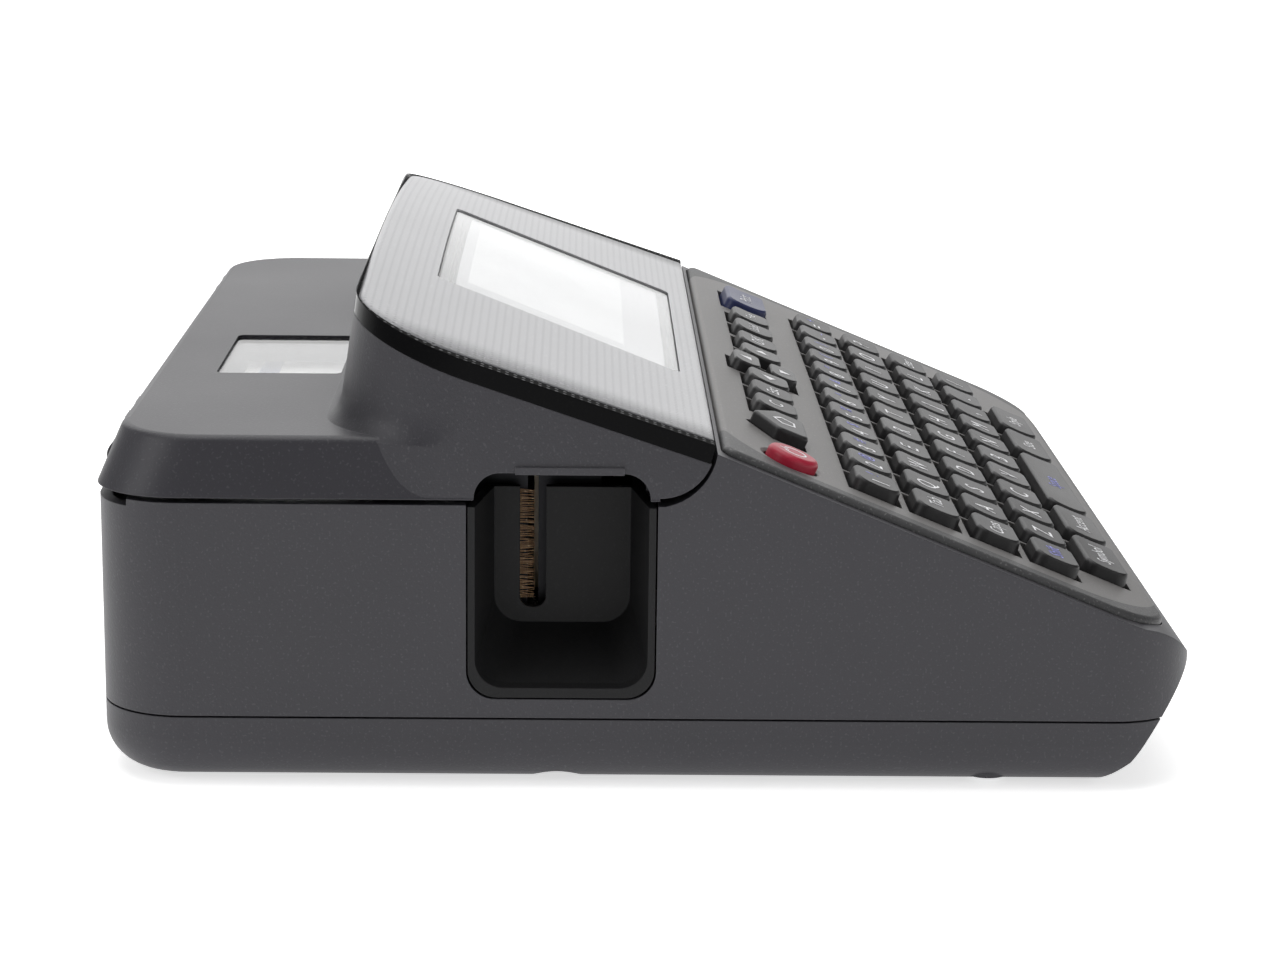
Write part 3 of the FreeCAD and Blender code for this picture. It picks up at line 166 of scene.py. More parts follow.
def skin(tree, shader, **values):
    """Places the moulded skin in a material and joins it to the shader."""
    node = put(tree, "ShaderNodeGroup", node_tree=moulded_skin)
    for label, value in values.items():
        socket = node.inputs[label.replace("_", " ")]
        if isinstance(value, bpy.types.NodeSocket):
            tree.links.new(value, socket)
        else:
            socket.default_value = value
    tree.links.new(node.outputs["Colour"], shader.inputs["Base Color"])
    tree.links.new(node.outputs["Roughness"], shader.inputs["Roughness"])
    tree.links.new(node.outputs["Normal"], shader.inputs["Normal"])
    return node


case_grey, tree, shader = new_finish("case grey", Specular_IOR_Level=0.45)
skin(tree, shader, Colour=colour(48, 47, 52), Fleck_Colour=colour(96, 96, 100), Flecks=0.22,
     Grain_Size=0.00045, Grain_Depth=0.45, Roughness=0.44, Unevenness=0.10)
dress(case_grey, "bottom_case", "main_case", "top_lid", "battery_cover")

# ---------------------------------------------------------------- keyboard panel
# A mid-grey moulded plate that drops into the slope of the case. Its flat field is smooth and pale, and its
# rounded border is darker with a coarse texture; the keys come up through openings in it.

SLOPE = math.radians(22.3)
PANEL_REAR, PANEL_HEIGHT = -12.0 * MM, 60.9 * MM


def panel_point(across, along, height):
    """Place on the keyboard slope: metres across, metres along (towards the front is negative), and height."""
    return Vector((across, PANEL_REAR + along * math.cos(SLOPE) - height * math.sin(SLOPE),
                   PANEL_HEIGHT + along * math.sin(SLOPE) + height * math.cos(SLOPE)))


panel_grey, tree, shader = new_finish("panel grey")
place = put(tree, "ShaderNodeTexCoord").outputs["Object"]
from_rear = put(tree, "ShaderNodeVectorMath", {0: place, 1: (0, PANEL_REAR, PANEL_HEIGHT)}, operation="SUBTRACT")
along = put(tree, "ShaderNodeVectorMath", {0: from_rear.outputs[0], 1: (0, math.cos(SLOPE), math.sin(SLOPE))},
            operation="DOT_PRODUCT").outputs["Value"]
across = put(tree, "ShaderNodeSeparateXYZ", {0: place}).outputs["X"]
FIELD_HALF, FIELD_MIDDLE, FIELD_REACH, FIELD_CORNER = 93.6 * MM, -43.0 * MM, 43.0 * MM, 18.0 * MM
over = calc(tree, "MAXIMUM", calc(tree, "SUBTRACT", calc(tree, "ABSOLUTE", across), FIELD_HALF - FIELD_CORNER))
beyond = calc(tree, "SUBTRACT", calc(tree, "ABSOLUTE", calc(tree, "SUBTRACT", along, FIELD_MIDDLE)),
              FIELD_REACH - FIELD_CORNER)
beyond = calc(tree, "MAXIMUM", beyond)
reach = calc(tree, "SQRT", calc(tree, "ADD", calc(tree, "MULTIPLY", over, over), calc(tree, "MULTIPLY", beyond, beyond)))
border = ramp(tree, reach, FIELD_CORNER - 0.1 * MM, FIELD_CORNER + 0.1 * MM)
field_tint = blend_tints(tree, border, colour(104, 102, 101), colour(56, 56, 57))
depth = ramp(tree, border, 0.0, 1.0, 0.22, 1.0)
skin(tree, shader, Colour=field_tint, Fleck_Colour=colour(168, 166, 165), Flecks=0.18, Grain_Size=0.0005,
     Grain_Depth=depth, Roughness=0.5, Unevenness=0.08)
dress(panel_grey, "keyboard_panel")

# ---------------------------------------------------------------- keys
# Black moulded caps with a shallow dish, standing on a rubber sheet. The power key is red and the print key
# blue. Legends are white or pale blue pad print on top of each cap.

KEY_RISE, DISH_SAG, DISH_RADIUS = 2.35 * MM, 0.28 * MM, 34.0 * MM
INK_THICK = 0.03 * MM


def key_finish(name, red, green, blue, roughness):
    """Moulded key plastic with a soft sheen and slight finger polish."""
    material, tree, shader = new_finish(name, Specular_IOR_Level=0.4)
    skin(tree, shader, Colour=colour(red, green, blue), Fleck_Colour=colour(red + 34, green + 34, blue + 34),
         Flecks=0.12, Grain_Size=0.0003, Grain_Depth=0.28, Roughness=roughness, Unevenness=0.16)
    return material


black_key = key_finish("black key", 27, 26, 27, 0.42)
dress(key_finish("red key", 160, 18, 48, 0.4), "power_key")
dress(key_finish("blue key", 34, 42, 84, 0.42), "print_key")
dress(black_key, "home_key", "clear_key", "escape_key", "left_key", "up_key", "down_key", "right_key", "ok_key",
      "label_key", "file_key", "digit_keys", "tab_key", "upper_letter_keys", "caps_key", "middle_letter_keys",
      "enter_key", "shift_key", "lower_letter_keys", "command_keys", "space_key")


def ink(name, tint):
    """Pad print: matt, a little thin and uneven where it lies on the texture."""
    material, tree, shader = new_finish(name, Specular_IOR_Level=0.35)
    skin(tree, shader, Colour=tint, Fleck_Colour=colour(150, 150, 150), Flecks=0.25, Grain_Size=0.0002,
         Grain_Depth=0.15, Roughness=0.55, Unevenness=0.1)
    return material


white_ink = ink("white ink", colour(238, 238, 240))
blue_ink = ink("blue ink", colour(150, 152, 226))


def only(piece):
    """Selects this object alone and makes it the active one."""
    bpy.ops.object.select_all(action="DESELECT")
    piece.select_set(True)
    bpy.context.view_layer.objects.active = piece
    return piece


def joined(pieces, name):
    """Joins pieces into one object of this name."""
    only(pieces[0])
    for piece in pieces[1:]:
        piece.select_set(True)
    if len(pieces) > 1:
        bpy.ops.object.join()
    pieces[0].name = name
    pieces[0].data.name = name
    return pieces[0]


def cap_middles(node, count, pitch):
    """Middles of a row of caps on the slope, across, from the node's own box."""
    low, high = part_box(node)
    middle = (low.x + high.x) / 2
    return [middle + (index - (count - 1) / 2) * pitch for index in range(count)]


def lay_on_cap(piece, across, along, offset, rise=KEY_RISE - DISH_SAG):
    """Moves a flat drawn piece onto a dished cap. offset is how far it stands from the cap's middle."""
    for vertex in piece.data.vertices:
        step = offset[1] + vertex.co.y
        height = rise + 0.02 * MM + vertex.co.z + step * step / (2 * DISH_RADIUS)
        vertex.co = panel_point(across + offset[0] + vertex.co.x, along + step, height)


def legend(words, size, material, across, along, offset=(0.0, 0.0)):
    """Printed characters on one cap, made solid and laid on its dish."""
    bpy.ops.object.select_all(action="DESELECT")
    bpy.ops.object.text_add(location=(0, 0, 0))
    print_ = bpy.context.object
    print_.data.body = words
    print_.data.size = size
    print_.data.align_x = "CENTER"
    print_.data.align_y = "CENTER"
    print_.data.extrude = INK_THICK / 2
    print_.data.resolution_u = 3
    bpy.ops.object.convert(target="MESH")
    print_ = bpy.context.object
    print_.data.materials.clear()
    print_.data.materials.append(material)
    lay_on_cap(print_, across, along, offset)
    return print_


def row_print(name, node, letters, along, pitch, second=""):
    """All the printed characters of one row of caps, as one piece that moves with the row."""
    pieces = []
    for index, across in enumerate(cap_middles(node, len(letters), pitch)):
        if second:
            pieces.append(legend(letters[index], 5.0 * MM, white_ink, across, along, (-2.4 * MM, -0.7 * MM)))
            pieces.append(legend(second[index], 3.6 * MM, blue_ink, across, along, (2.5 * MM, 0.6 * MM)))
        else:
            pieces.append(legend(letters[index], 5.6 * MM, white_ink, across, along, (-1.0 * MM, 0.0)))
    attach(joined(pieces, name), node)


ROWS = {"function": -12.8 * MM, "digits": -29.9 * MM, "upper": -41.5 * MM, "middle": -53.1 * MM,
        "lower": -64.7 * MM, "command": -76.3 * MM}
row_print("digit_print", "digit_keys", "1234567890-=", ROWS["digits"], 13.95 * MM, "!@#$%^&*()_+")
row_print("upper_print", "upper_letter_keys", "QWERTYUIOP", ROWS["upper"], 15.25 * MM)
row_print("middle_print", "middle_letter_keys", "ASDFGHJKL", ROWS["middle"], 15.25 * MM)
row_print("lower_print", "lower_letter_keys", "ZXCVBNM,./", ROWS["lower"], 15.25 * MM)


def word_print(name, node, words, size, along, material=None, offset=(0.0, 0.0)):
    """One word on one cap, as a piece that moves with the cap."""
    across = cap_middles(node, 1, 0)[0]
    piece = legend(words, size, material or white_ink, across, along, offset)
    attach(joined([piece], name), node)


word_print("tab_print", "tab_key", "Tab", 4.0 * MM, ROWS["upper"], None, (0.6 * MM, 0))
word_print("caps_print", "caps_key", "Caps", 3.9 * MM, ROWS["middle"])
word_print("shift_print", "shift_key", "Shift", 3.9 * MM, ROWS["lower"], blue_ink)
word_print("enter_print", "enter_key", "Enter", 3.6 * MM, ROWS["middle"])
word_print("space_print", "space_key", "Space", 4.0 * MM, ROWS["command"], blue_ink)
word_print("clear_print", "clear_key", "C", 4.2 * MM, ROWS["function"])
word_print("escape_print", "escape_key", "Esc", 3.7 * MM, ROWS["function"])
word_print("ok_print", "ok_key", "OK", 4.2 * MM, ROWS["function"])
word_print("label_print", "label_key", "Label", 3.1 * MM, ROWS["function"])
word_print("file_print", "file_key", "File", 3.5 * MM, ROWS["function"])
word_print("print_print", "print_key", "Print", 4.2 * MM, ROWS["function"])
command_words = zip(("Symbol", "Accent", "Size", "Style"), (-66.0, -42.4, 27.4, 51.0))
command_print = [legend(words, 4.0 * MM, white_ink, across * MM, ROWS["command"]) for words, across in command_words]
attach(joined(command_print, "command_print"), "command_keys")


def arrow(name, node, turn, along, rise):
    """A printed triangle that points left, right, up or down."""
    bpy.ops.object.select_all(action="DESELECT")
    bpy.ops.mesh.primitive_cylinder_add(vertices=3, radius=1.7 * MM, depth=INK_THICK, rotation=(0, 0, turn))
    bpy.ops.object.transform_apply(location=False, rotation=True, scale=True)
    mark = bpy.context.object
    bpy.ops.object.mode_set(mode="EDIT")
    bpy.ops.mesh.select_all(action="SELECT")
    bpy.ops.mesh.bevel(offset=0.3 * MM, segments=2, affect="VERTICES")
    bpy.ops.object.mode_set(mode="OBJECT")
    mark.data.materials.append(white_ink)
    lay_on_cap(mark, cap_middles(node, 1, 0)[0], along, (0, 0), rise)
    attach(joined([mark], name), node)


LEVEL = KEY_RISE - DISH_SAG
arrow("left_arrow", "left_key", math.radians(90), ROWS["function"], LEVEL)
arrow("right_arrow", "right_key", math.radians(-90), ROWS["function"], LEVEL)
arrow("up_arrow", "up_key", 0.0, ROWS["function"] + 3.9 * MM, LEVEL)
arrow("down_arrow", "down_key", math.radians(180), ROWS["function"] - 3.9 * MM, LEVEL)

# The home key carries a small house outline: a pentagon drawn as a raised printed line.
bpy.ops.object.select_all(action="DESELECT")
bpy.ops.mesh.primitive_cylinder_add(vertices=5, radius=2.9 * MM, depth=INK_THICK)
house = bpy.context.object
bpy.ops.object.mode_set(mode="EDIT")
bpy.ops.mesh.select_all(action="SELECT")
bpy.ops.mesh.select_mode(type="FACE")
bpy.ops.mesh.select_all(action="DESELECT")
bpy.ops.object.mode_set(mode="OBJECT")
for face in house.data.polygons:
    face.select = abs(face.normal.z) > 0.9
bpy.ops.object.mode_set(mode="EDIT")
bpy.ops.mesh.inset(thickness=0.5 * MM, depth=0)
bpy.ops.mesh.bridge_edge_loops()
bpy.ops.object.mode_set(mode="OBJECT")
house.data.materials.append(white_ink)
for vertex in house.data.vertices:
    vertex.co.y = vertex.co.y * 0.85
HOUSE_PLACE = cap_middles("home_key", 1, 0)[0]
lay_on_cap(house, HOUSE_PLACE, ROWS["function"] - 0.4 * MM, (0, 0), KEY_RISE)
for vertex in house.data.vertices:
    step = (vertex.co - panel_point(HOUSE_PLACE, ROWS["function"], 0)).dot(Vector((0, math.cos(SLOPE), math.sin(SLOPE))))
    vertex.co -= Vector((0, -math.sin(SLOPE), math.cos(SLOPE))) * (step * step / (2 * DISH_RADIUS))
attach(joined([house], "home_print"), "home_key")

# The power key carries a ring that is open at the rear with a short bar in the opening.
low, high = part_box("power_key")
POWER_ACROSS, POWER_ALONG = (low.x + high.x) / 2, ROWS["function"] - 1.0 * MM
bpy.ops.object.select_all(action="DESELECT")
bpy.ops.mesh.primitive_torus_add(major_radius=2.0 * MM, minor_radius=0.24 * MM, major_segments=40, minor_segments=8)
ring = bpy.context.object
bpy.ops.object.mode_set(mode="EDIT")
bpy.ops.mesh.select_all(action="SELECT")
bpy.ops.mesh.bisect(plane_co=(0.6 * MM, 0, 0), plane_no=(1, 0, 0))
bpy.ops.mesh.select_all(action="SELECT")
bpy.ops.mesh.bisect(plane_co=(-0.6 * MM, 0, 0), plane_no=(1, 0, 0))
bpy.ops.object.mode_set(mode="OBJECT")
for face in ring.data.polygons:
    face.select = abs(face.center.x) < 0.6 * MM and face.center.y > 0
bpy.ops.object.mode_set(mode="EDIT")
bpy.ops.mesh.delete(type="FACE")
bpy.ops.mesh.select_all(action="SELECT")
bpy.ops.mesh.fill_holes(sides=0)
bpy.ops.object.mode_set(mode="OBJECT")
bpy.ops.mesh.primitive_cylinder_add(vertices=10, radius=0.24 * MM, depth=1.7 * MM, location=(0, 2.0 * MM, 0),
                                    rotation=(math.radians(90), 0, 0))
bpy.ops.object.transform_apply()
power_mark = joined([ring, bpy.context.object], "power_print")
for vertex in power_mark.data.vertices:
    vertex.co = panel_point(POWER_ACROSS + vertex.co.x, POWER_ALONG + vertex.co.y, 1.9 * MM + vertex.co.z * 0.15)
power_mark.data.materials.append(white_ink)
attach(power_mark, "power_key")

# ---------------------------------------------------------------- under the keys
# A black silicone sheet with a pad under every key lies on a green circuit board; both are closed in by the
# keyboard panel and are seen only as dark gaps round the keys.


def plain_skin(name, tint, fleck, flecks, grain, depth, roughness, unevenness=0.08, **values):
    """A moulded finish in one tint."""
    material, tree, shader = new_finish(name, **values)
    skin(tree, shader, Colour=tint, Fleck_Colour=fleck, Flecks=flecks, Grain_Size=grain, Grain_Depth=depth,
         Roughness=roughness, Unevenness=unevenness)
    return material


dress(plain_skin("key mat rubber", colour(26, 26, 27), colour(60, 60, 60), 0.1, 0.0003, 0.3, 0.7), "key_mat")

board_green, tree, shader = new_finish("circuit board", Specular_IOR_Level=0.5, Coat_Weight=0.3, Coat_Roughness=0.2)
place = put(tree, "ShaderNodeTexCoord").outputs["Object"]
cells = put(tree, "ShaderNodeTexVoronoi", {"Vector": place, "Scale": 260.0}, distance="MANHATTAN").outputs["Distance"]
tracks = ramp(tree, cells, 0.40, 0.46)
skin(tree, shader, Colour=blend_tints(tree, tracks, colour(16, 76, 44), colour(40, 118, 66)),
     Fleck_Colour=colour(196, 190, 150), Flecks=0.5, Grain_Size=0.0006, Grain_Depth=0.2, Roughness=0.32)
dress(board_green, "keyboard_board", "main_board")

# ---------------------------------------------------------------- display face
# A gloss-black band lies on the lid all round the face. The silver plate inside it is printed with close rows
# of fine dots that run on over the edge of the band, and its edges are rounded over.

dot_rows, inlet, outlet = effect(
    "dot rows", [("Pitch", FLOAT, 0.0014), ("Dot Share", FLOAT, 0.3)], [("Mask", FLOAT)])
place = put(dot_rows, "ShaderNodeTexCoord").outputs["Object"]
parts = put(dot_rows, "ShaderNodeSeparateXYZ", {0: place})


def to_nearest(tree, value, pitch):
    """Distance from a value to the nearest whole multiple of the pitch, in pitches."""
    turned = calc(tree, "DIVIDE", value, pitch)
    return calc(tree, "ABSOLUTE", calc(tree, "SUBTRACT", calc(tree, "FRACT", turned), 0.5))


sideways = to_nearest(dot_rows, parts.outputs["X"], inlet.outputs["Pitch"])
endways = to_nearest(dot_rows, parts.outputs["Y"], inlet.outputs["Pitch"])
spread = calc(dot_rows, "SQRT", calc(dot_rows, "ADD", calc(dot_rows, "MULTIPLY", sideways, sideways),
                                     calc(dot_rows, "MULTIPLY", endways, endways)))
edge = calc(dot_rows, "SUBTRACT", spread, inlet.outputs["Dot Share"])
dots = ramp(dot_rows, edge, 0.05, -0.05)
dot_rows.links.new(dots, outlet.inputs["Mask"])

silver_face, tree, shader = new_finish("silver face", Metallic=0.12, Specular_IOR_Level=0.25)
rows = put(tree, "ShaderNodeGroup", {"Pitch": 1.4 * MM, "Dot Share": 0.2}, node_tree=dot_rows).outputs["Mask"]
place = put(tree, "ShaderNodeTexCoord").outputs["Object"]
across = put(tree, "ShaderNodeSeparateXYZ", {0: place}).outputs["X"]
# Towards its left and right edges the silver and its dots are painted darker over the last 13 mm: a painted shade where
# the face curves down.
inward = calc(tree, "SUBTRACT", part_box("display_bezel")[1].x, calc(tree, "ABSOLUTE", across))
painted_edge_shade = put(tree, "ShaderNodeMapRange", {"Value": inward, "From Min": 0.0 * MM, "From Max": 13.0 * MM},
             interpolation_type="SMOOTHSTEP").outputs[0]
ground = blend_tints(tree, painted_edge_shade, colour(84, 84, 87), colour(172, 172, 174))
spots = blend_tints(tree, painted_edge_shade, colour(40, 40, 42), colour(146, 146, 149))
skin(tree, shader, Colour=blend_tints(tree, rows, ground, spots),
     Fleck_Colour=colour(240, 240, 242), Flecks=0.2, Grain_Size=0.00025, Grain_Depth=0.12, Roughness=0.36,
     Unevenness=0.06)
dress(silver_face, "display_bezel")

gloss_black, tree, shader = new_finish("gloss black", IOR=1.14)
rows = put(tree, "ShaderNodeGroup", {"Pitch": 1.4 * MM, "Dot Share": 0.22}, node_tree=dot_rows).outputs["Mask"]
facing = put(tree, "ShaderNodeSeparateXYZ", {0: put(tree, "ShaderNodeNewGeometry").outputs["Normal"]}).outputs["Z"]
rows = calc(tree, "MULTIPLY", rows, ramp(tree, facing, 0.84, 0.90))
skin(tree, shader, Colour=blend_tints(tree, rows, colour(12, 12, 13), colour(104, 104, 105)),
     Fleck_Colour=colour(40, 40, 40), Flecks=0.1, Grain_Size=0.0009, Grain_Depth=0.03,
     Roughness=ramp(tree, facing, 0.6, 0.9, 0.12, 0.8), Unevenness=0.05)
dress(gloss_black, "display_trim")

# ---------------------------------------------------------------- screen
# The screen block lies under a clear acrylic window: a pale border, and in it the paler field of the display
# with its fine grid of cells, switched off.

clear_window, tree, shader = new_finish("clear window", Transmission_Weight=1.0, IOR=1.25)
skin(tree, shader, Colour=colour(240, 241, 242), Fleck_Colour=colour(225, 226, 228), Flecks=0.05,
     Grain_Size=0.004, Grain_Depth=0.02, Roughness=0.03, Unevenness=0.02)
dress(clear_window, "display_window", "lid_window")

screen, tree, shader = new_finish("screen", Specular_IOR_Level=0.2)
place = put(tree, "ShaderNodeTexCoord").outputs["Object"]
parts = put(tree, "ShaderNodeSeparateXYZ", {0: place})
SCREEN_MIDDLE, SCREEN_HALF = (3.6 * MM, 18.9 * MM), (38.0 * MM, 14.8 * MM)
past = [calc(tree, "SUBTRACT", calc(tree, "ABSOLUTE", calc(tree, "SUBTRACT", parts.outputs[axis], middle)), half)
        for axis, middle, half in zip(("X", "Y"), SCREEN_MIDDLE, SCREEN_HALF)]
outside = calc(tree, "MAXIMUM", past[0], past[1])
frame_share = ramp(tree, outside, -0.05 * MM, 0.05 * MM)
grid = calc(tree, "MINIMUM", to_nearest(tree, parts.outputs["X"], 0.5 * MM), to_nearest(tree, parts.outputs["Y"], 0.5 * MM))
cell_tint = blend_tints(tree, ramp(tree, grid, 0.04, 0.09), colour(214, 213, 211), colour(224, 223, 221))
skin(tree, shader, Colour=blend_tints(tree, frame_share, cell_tint, colour(168, 166, 167)),
     Fleck_Colour=colour(240, 240, 238), Flecks=0.05, Grain_Size=0.0006, Grain_Depth=0.04, Roughness=0.3)
dress(screen, "lcd_module")

# ---------------------------------------------------------------- cassette
# The tape cassette sits in a tub under the lid: a dark two-part shell with the spool of white label tape
# inside. A pale sticker with one bar on its top shows through the lid's window.

dress(plain_skin("cassette grey", colour(58, 58, 61), colour(96, 96, 98), 0.2, 0.0005, 0.4, 0.5), "cassette_shell")
dress(plain_skin("dark moulding", colour(24, 24, 25), colour(52, 52, 54), 0.12, 0.0004, 0.35, 0.55,
                 Specular_IOR_Level=0.25),
      "exit_frame", "cassette_bay", "roller_holder", "dc_socket")

tape_white, tree, shader = new_finish("label tape")
place = put(tree, "ShaderNodeTexCoord").outputs["Object"]
SPOOL = (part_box("label_spool")[0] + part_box("label_spool")[1]) / 2
centred = put(tree, "ShaderNodeMapping", {"Vector": place, "Location": (-SPOOL.x, -SPOOL.y, 0)}).outputs[0]
flat = put(tree, "ShaderNodeVectorMath", {0: centred, 1: (1, 1, 0)}, operation="MULTIPLY").outputs[0]
radius = put(tree, "ShaderNodeVectorMath", {0: flat}, operation="LENGTH").outputs["Value"]
turns = to_nearest(tree, radius, 0.35 * MM)
skin(tree, shader, Colour=blend_tints(tree, ramp(tree, turns, 0.1, 0.4), colour(196, 195, 190), colour(232, 231, 227)),
     Fleck_Colour=colour(205, 204, 200), Flecks=0.1, Grain_Size=0.0008, Grain_Depth=0.1, Roughness=0.45)
dress(tape_white, "label_spool")

low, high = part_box("cassette_shell")
bpy.ops.object.select_all(action="DESELECT")
bpy.ops.mesh.primitive_cube_add(size=1, location=(0, 0, 0))
sticker = bpy.context.object
sticker.dimensions = (36 * MM, 20 * MM, 0.12 * MM)
bpy.ops.object.transform_apply(location=False, rotation=False, scale=True)
bpy.ops.object.mode_set(mode="EDIT")
bpy.ops.mesh.select_all(action="SELECT")
bpy.ops.mesh.bevel(offset=0.04 * MM, segments=1)
bpy.ops.object.mode_set(mode="OBJECT")
for vertex in sticker.data.vertices:
    vertex.co += Vector(((low.x + high.x) / 2 - 2 * MM, 69.0 * MM, high.z + 0.07 * MM))
sticker_paper, tree, shader = new_finish("sticker paper")
place = put(tree, "ShaderNodeTexCoord").outputs["Object"]
down = put(tree, "ShaderNodeSeparateXYZ", {0: place}).outputs["Y"]
bar = calc(tree, "MINIMUM", ramp(tree, down, 72.0 * MM, 72.1 * MM), ramp(tree, down, 76.1 * MM, 76.0 * MM))
skin(tree, shader, Colour=blend_tints(tree, bar, colour(228, 227, 222), colour(84, 92, 128)),
     Fleck_Colour=colour(200, 200, 196), Flecks=0.2, Grain_Size=0.0005, Grain_Depth=0.15, Roughness=0.55)
sticker.data.materials.append(sticker_paper)
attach(joined([sticker], "cassette_sticker"), "case")

# ---------------------------------------------------------------- slot brush
# A comb of brown nylon bristles is clamped in a folded strip at the rear edge of the slot. It strokes the
# label flat and keeps dust out; the bristles differ a little in length and lean.

bristle, tree, shader = new_finish("bristle", Specular_IOR_Level=0.6)
skin(tree, shader, Colour=colour(150, 108, 70), Fleck_Colour=colour(242, 212, 168), Flecks=0.8,
     Grain_Size=0.0006, Grain_Depth=0.2, Roughness=0.35, Unevenness=0.3)
low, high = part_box("exit_brush")
ROOT_Y = high.y - 1.4 * MM
bpy.ops.object.select_all(action="DESELECT")
bpy.ops.mesh.primitive_cube_add(size=1, location=(0, 0, 0))
clamp = bpy.context.object
clamp.dimensions = (high.x - low.x - 0.1 * MM, 1.6 * MM, high.z - low.z - 0.1 * MM)
bpy.ops.object.transform_apply(location=False, rotation=False, scale=True)
bpy.ops.object.mode_set(mode="EDIT")
bpy.ops.mesh.select_all(action="SELECT")
bpy.ops.mesh.bevel(offset=0.25 * MM, segments=2)
bpy.ops.object.mode_set(mode="OBJECT")
for vertex in clamp.data.vertices:
    vertex.co += Vector(((low.x + high.x) / 2, high.y - 0.8 * MM, (low.z + high.z) / 2))
clamp.data.materials.append(bristle)
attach(joined([clamp], "brush_clamp"), "case")

chance = random.Random(11)
bpy.ops.object.select_all(action="DESELECT")
bpy.ops.mesh.primitive_cone_add(vertices=5, radius1=0.085 * MM, radius2=0.05 * MM, depth=4.0 * MM,
                                rotation=(math.radians(90), 0, 0))
bpy.ops.object.transform_apply()
first_hair = bpy.context.object
bpy.ops.object.mode_set(mode="EDIT")
bpy.ops.mesh.select_all(action="SELECT")
for cut in (-0.8 * MM, 0.6 * MM):
    bpy.ops.mesh.bisect(plane_co=(0, cut, 0), plane_no=(0, 1, 0))
    bpy.ops.mesh.select_all(action="SELECT")
bpy.ops.object.mode_set(mode="OBJECT")
hairs = []
HAIR_COUNT = 96
for index in range(HAIR_COUNT):
    hair = first_hair.copy()
    hair.data = first_hair.data.copy()
    bpy.context.scene.collection.objects.link(hair)
    lean = chance.uniform(-0.06, 0.06)
    bow = chance.uniform(-28, 28)
    length = chance.uniform(0.92, 1.0)
    side = chance.uniform(0.28, 0.92) * MM
    level = low.z + 0.8 * MM + (high.z - low.z - 1.4 * MM) * index / (HAIR_COUNT - 1)
    for vertex in hair.data.vertices:
        out = (2.0 * MM - vertex.co.y) * length
        vertex.co = Vector((low.x + side + vertex.co.x, ROOT_Y + 0.3 * MM - out,
                            level + vertex.co.z + lean * out + bow * out * out))
    hair.data.materials.append(bristle)
    hairs.append(hair)
bpy.data.objects.remove(first_hair)
brush = joined(hairs, "brush_hairs")
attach(brush, "case")
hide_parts("exit_brush")

# ---------------------------------------------------------------- print mechanism
# Stamped blackened steel chassis and cutter blades, a bare heat sink; a rubber platen in a swinging holder; moulded
# acetal gears, a brass pinion and two small motors in drawn cans.

brushed, inlet, outlet = effect(
    "brushed metal",
    [("Colour", TINT, (0.5, 0.5, 0.5, 1)), ("Roughness", FLOAT, 0.3), ("Line Depth", FLOAT, 0.2),
     ("Stain", FLOAT, 0.2)],
    [("Colour", TINT), ("Roughness", FLOAT), ("Normal", DIRECTION)],
)
place = put(brushed, "ShaderNodeTexCoord").outputs["Object"]
drawn = put(brushed, "ShaderNodeVectorMath", {0: place, 1: (60.0, 1800.0, 1800.0)}, operation="MULTIPLY").outputs[0]
lines = put(brushed, "ShaderNodeTexNoise", {"Vector": drawn, "Scale": 1.0, "Detail": 2.0}).outputs["Fac"]
stains = put(brushed, "ShaderNodeTexNoise", {"Vector": place, "Scale": 130.0, "Detail": 3.0}).outputs["Fac"]
dulling = calc(brushed, "MULTIPLY", ramp(brushed, stains, 0.5, 0.8), inlet.outputs["Stain"])
darker = put(brushed, "ShaderNodeVectorMath", {0: inlet.outputs["Colour"], "Scale": 0.55}, operation="SCALE").outputs[0]
brushed.links.new(blend_tints(brushed, dulling, inlet.outputs["Colour"], darker), outlet.inputs["Colour"])
brushed.links.new(calc(brushed, "ADD", inlet.outputs["Roughness"], calc(brushed, "MULTIPLY", lines, 0.16)),
                  outlet.inputs["Roughness"])
grooves = put(brushed, "ShaderNodeBump", {"Strength": inlet.outputs["Line Depth"], "Distance": 0.00005, "Height": lines})
brushed.links.new(grooves.outputs[0], outlet.inputs["Normal"])


def metal(name, tint, roughness, depth=0.2, stain=0.2):
    """Bare metal with fine draw lines and slight stains."""
    material, tree, shader = new_finish(name, Metallic=1.0)
    node = put(tree, "ShaderNodeGroup", {"Colour": tint, "Roughness": roughness, "Line Depth": depth, "Stain": stain},
               node_tree=brushed)
    tree.links.new(node.outputs["Colour"], shader.inputs["Base Color"])
    tree.links.new(node.outputs["Roughness"], shader.inputs["Roughness"])
    tree.links.new(node.outputs["Normal"], shader.inputs["Normal"])
    return material


steel = metal("steel", colour(196, 197, 200), 0.26)
dress(steel, "case_screws", "hinge_pins")
dress(metal("blackened steel", colour(44, 44, 46), 0.42), "print_chassis", "fixed_blade", "cutter_blade")
dress(metal("aluminium", colour(214, 215, 217), 0.34), "heat_sink")
dress(metal("motor can", colour(176, 176, 178), 0.3, 0.1, 0.3), "feed_motor", "cutter_motor")
dress(metal("brass", colour(214, 176, 98), 0.24), "motor_pinion")
dress(metal("plated shell", colour(206, 206, 204), 0.18, 0.1), "usb_socket")
dress(plain_skin("gear white", colour(226, 223, 212), colour(200, 196, 184), 0.1, 0.0006, 0.15, 0.42),
      "platen_gear", "idler_gear", "cutter_gear")
dress(plain_skin("roller rubber", colour(30, 30, 31), colour(52, 52, 52), 0.2, 0.0002, 0.4, 0.66), "platen_roller")
dress(plain_skin("head ceramic", colour(206, 190, 156), colour(240, 230, 205), 0.2, 0.0003, 0.15, 0.28), "print_head")

# ---------------------------------------------------------------- cells and contacts
# Six round cells in wrapped jackets lie in three rows. Each pair of rows is joined at its ends by plated
# spring contacts: a plate with a cone of spring wire that presses on the cell.

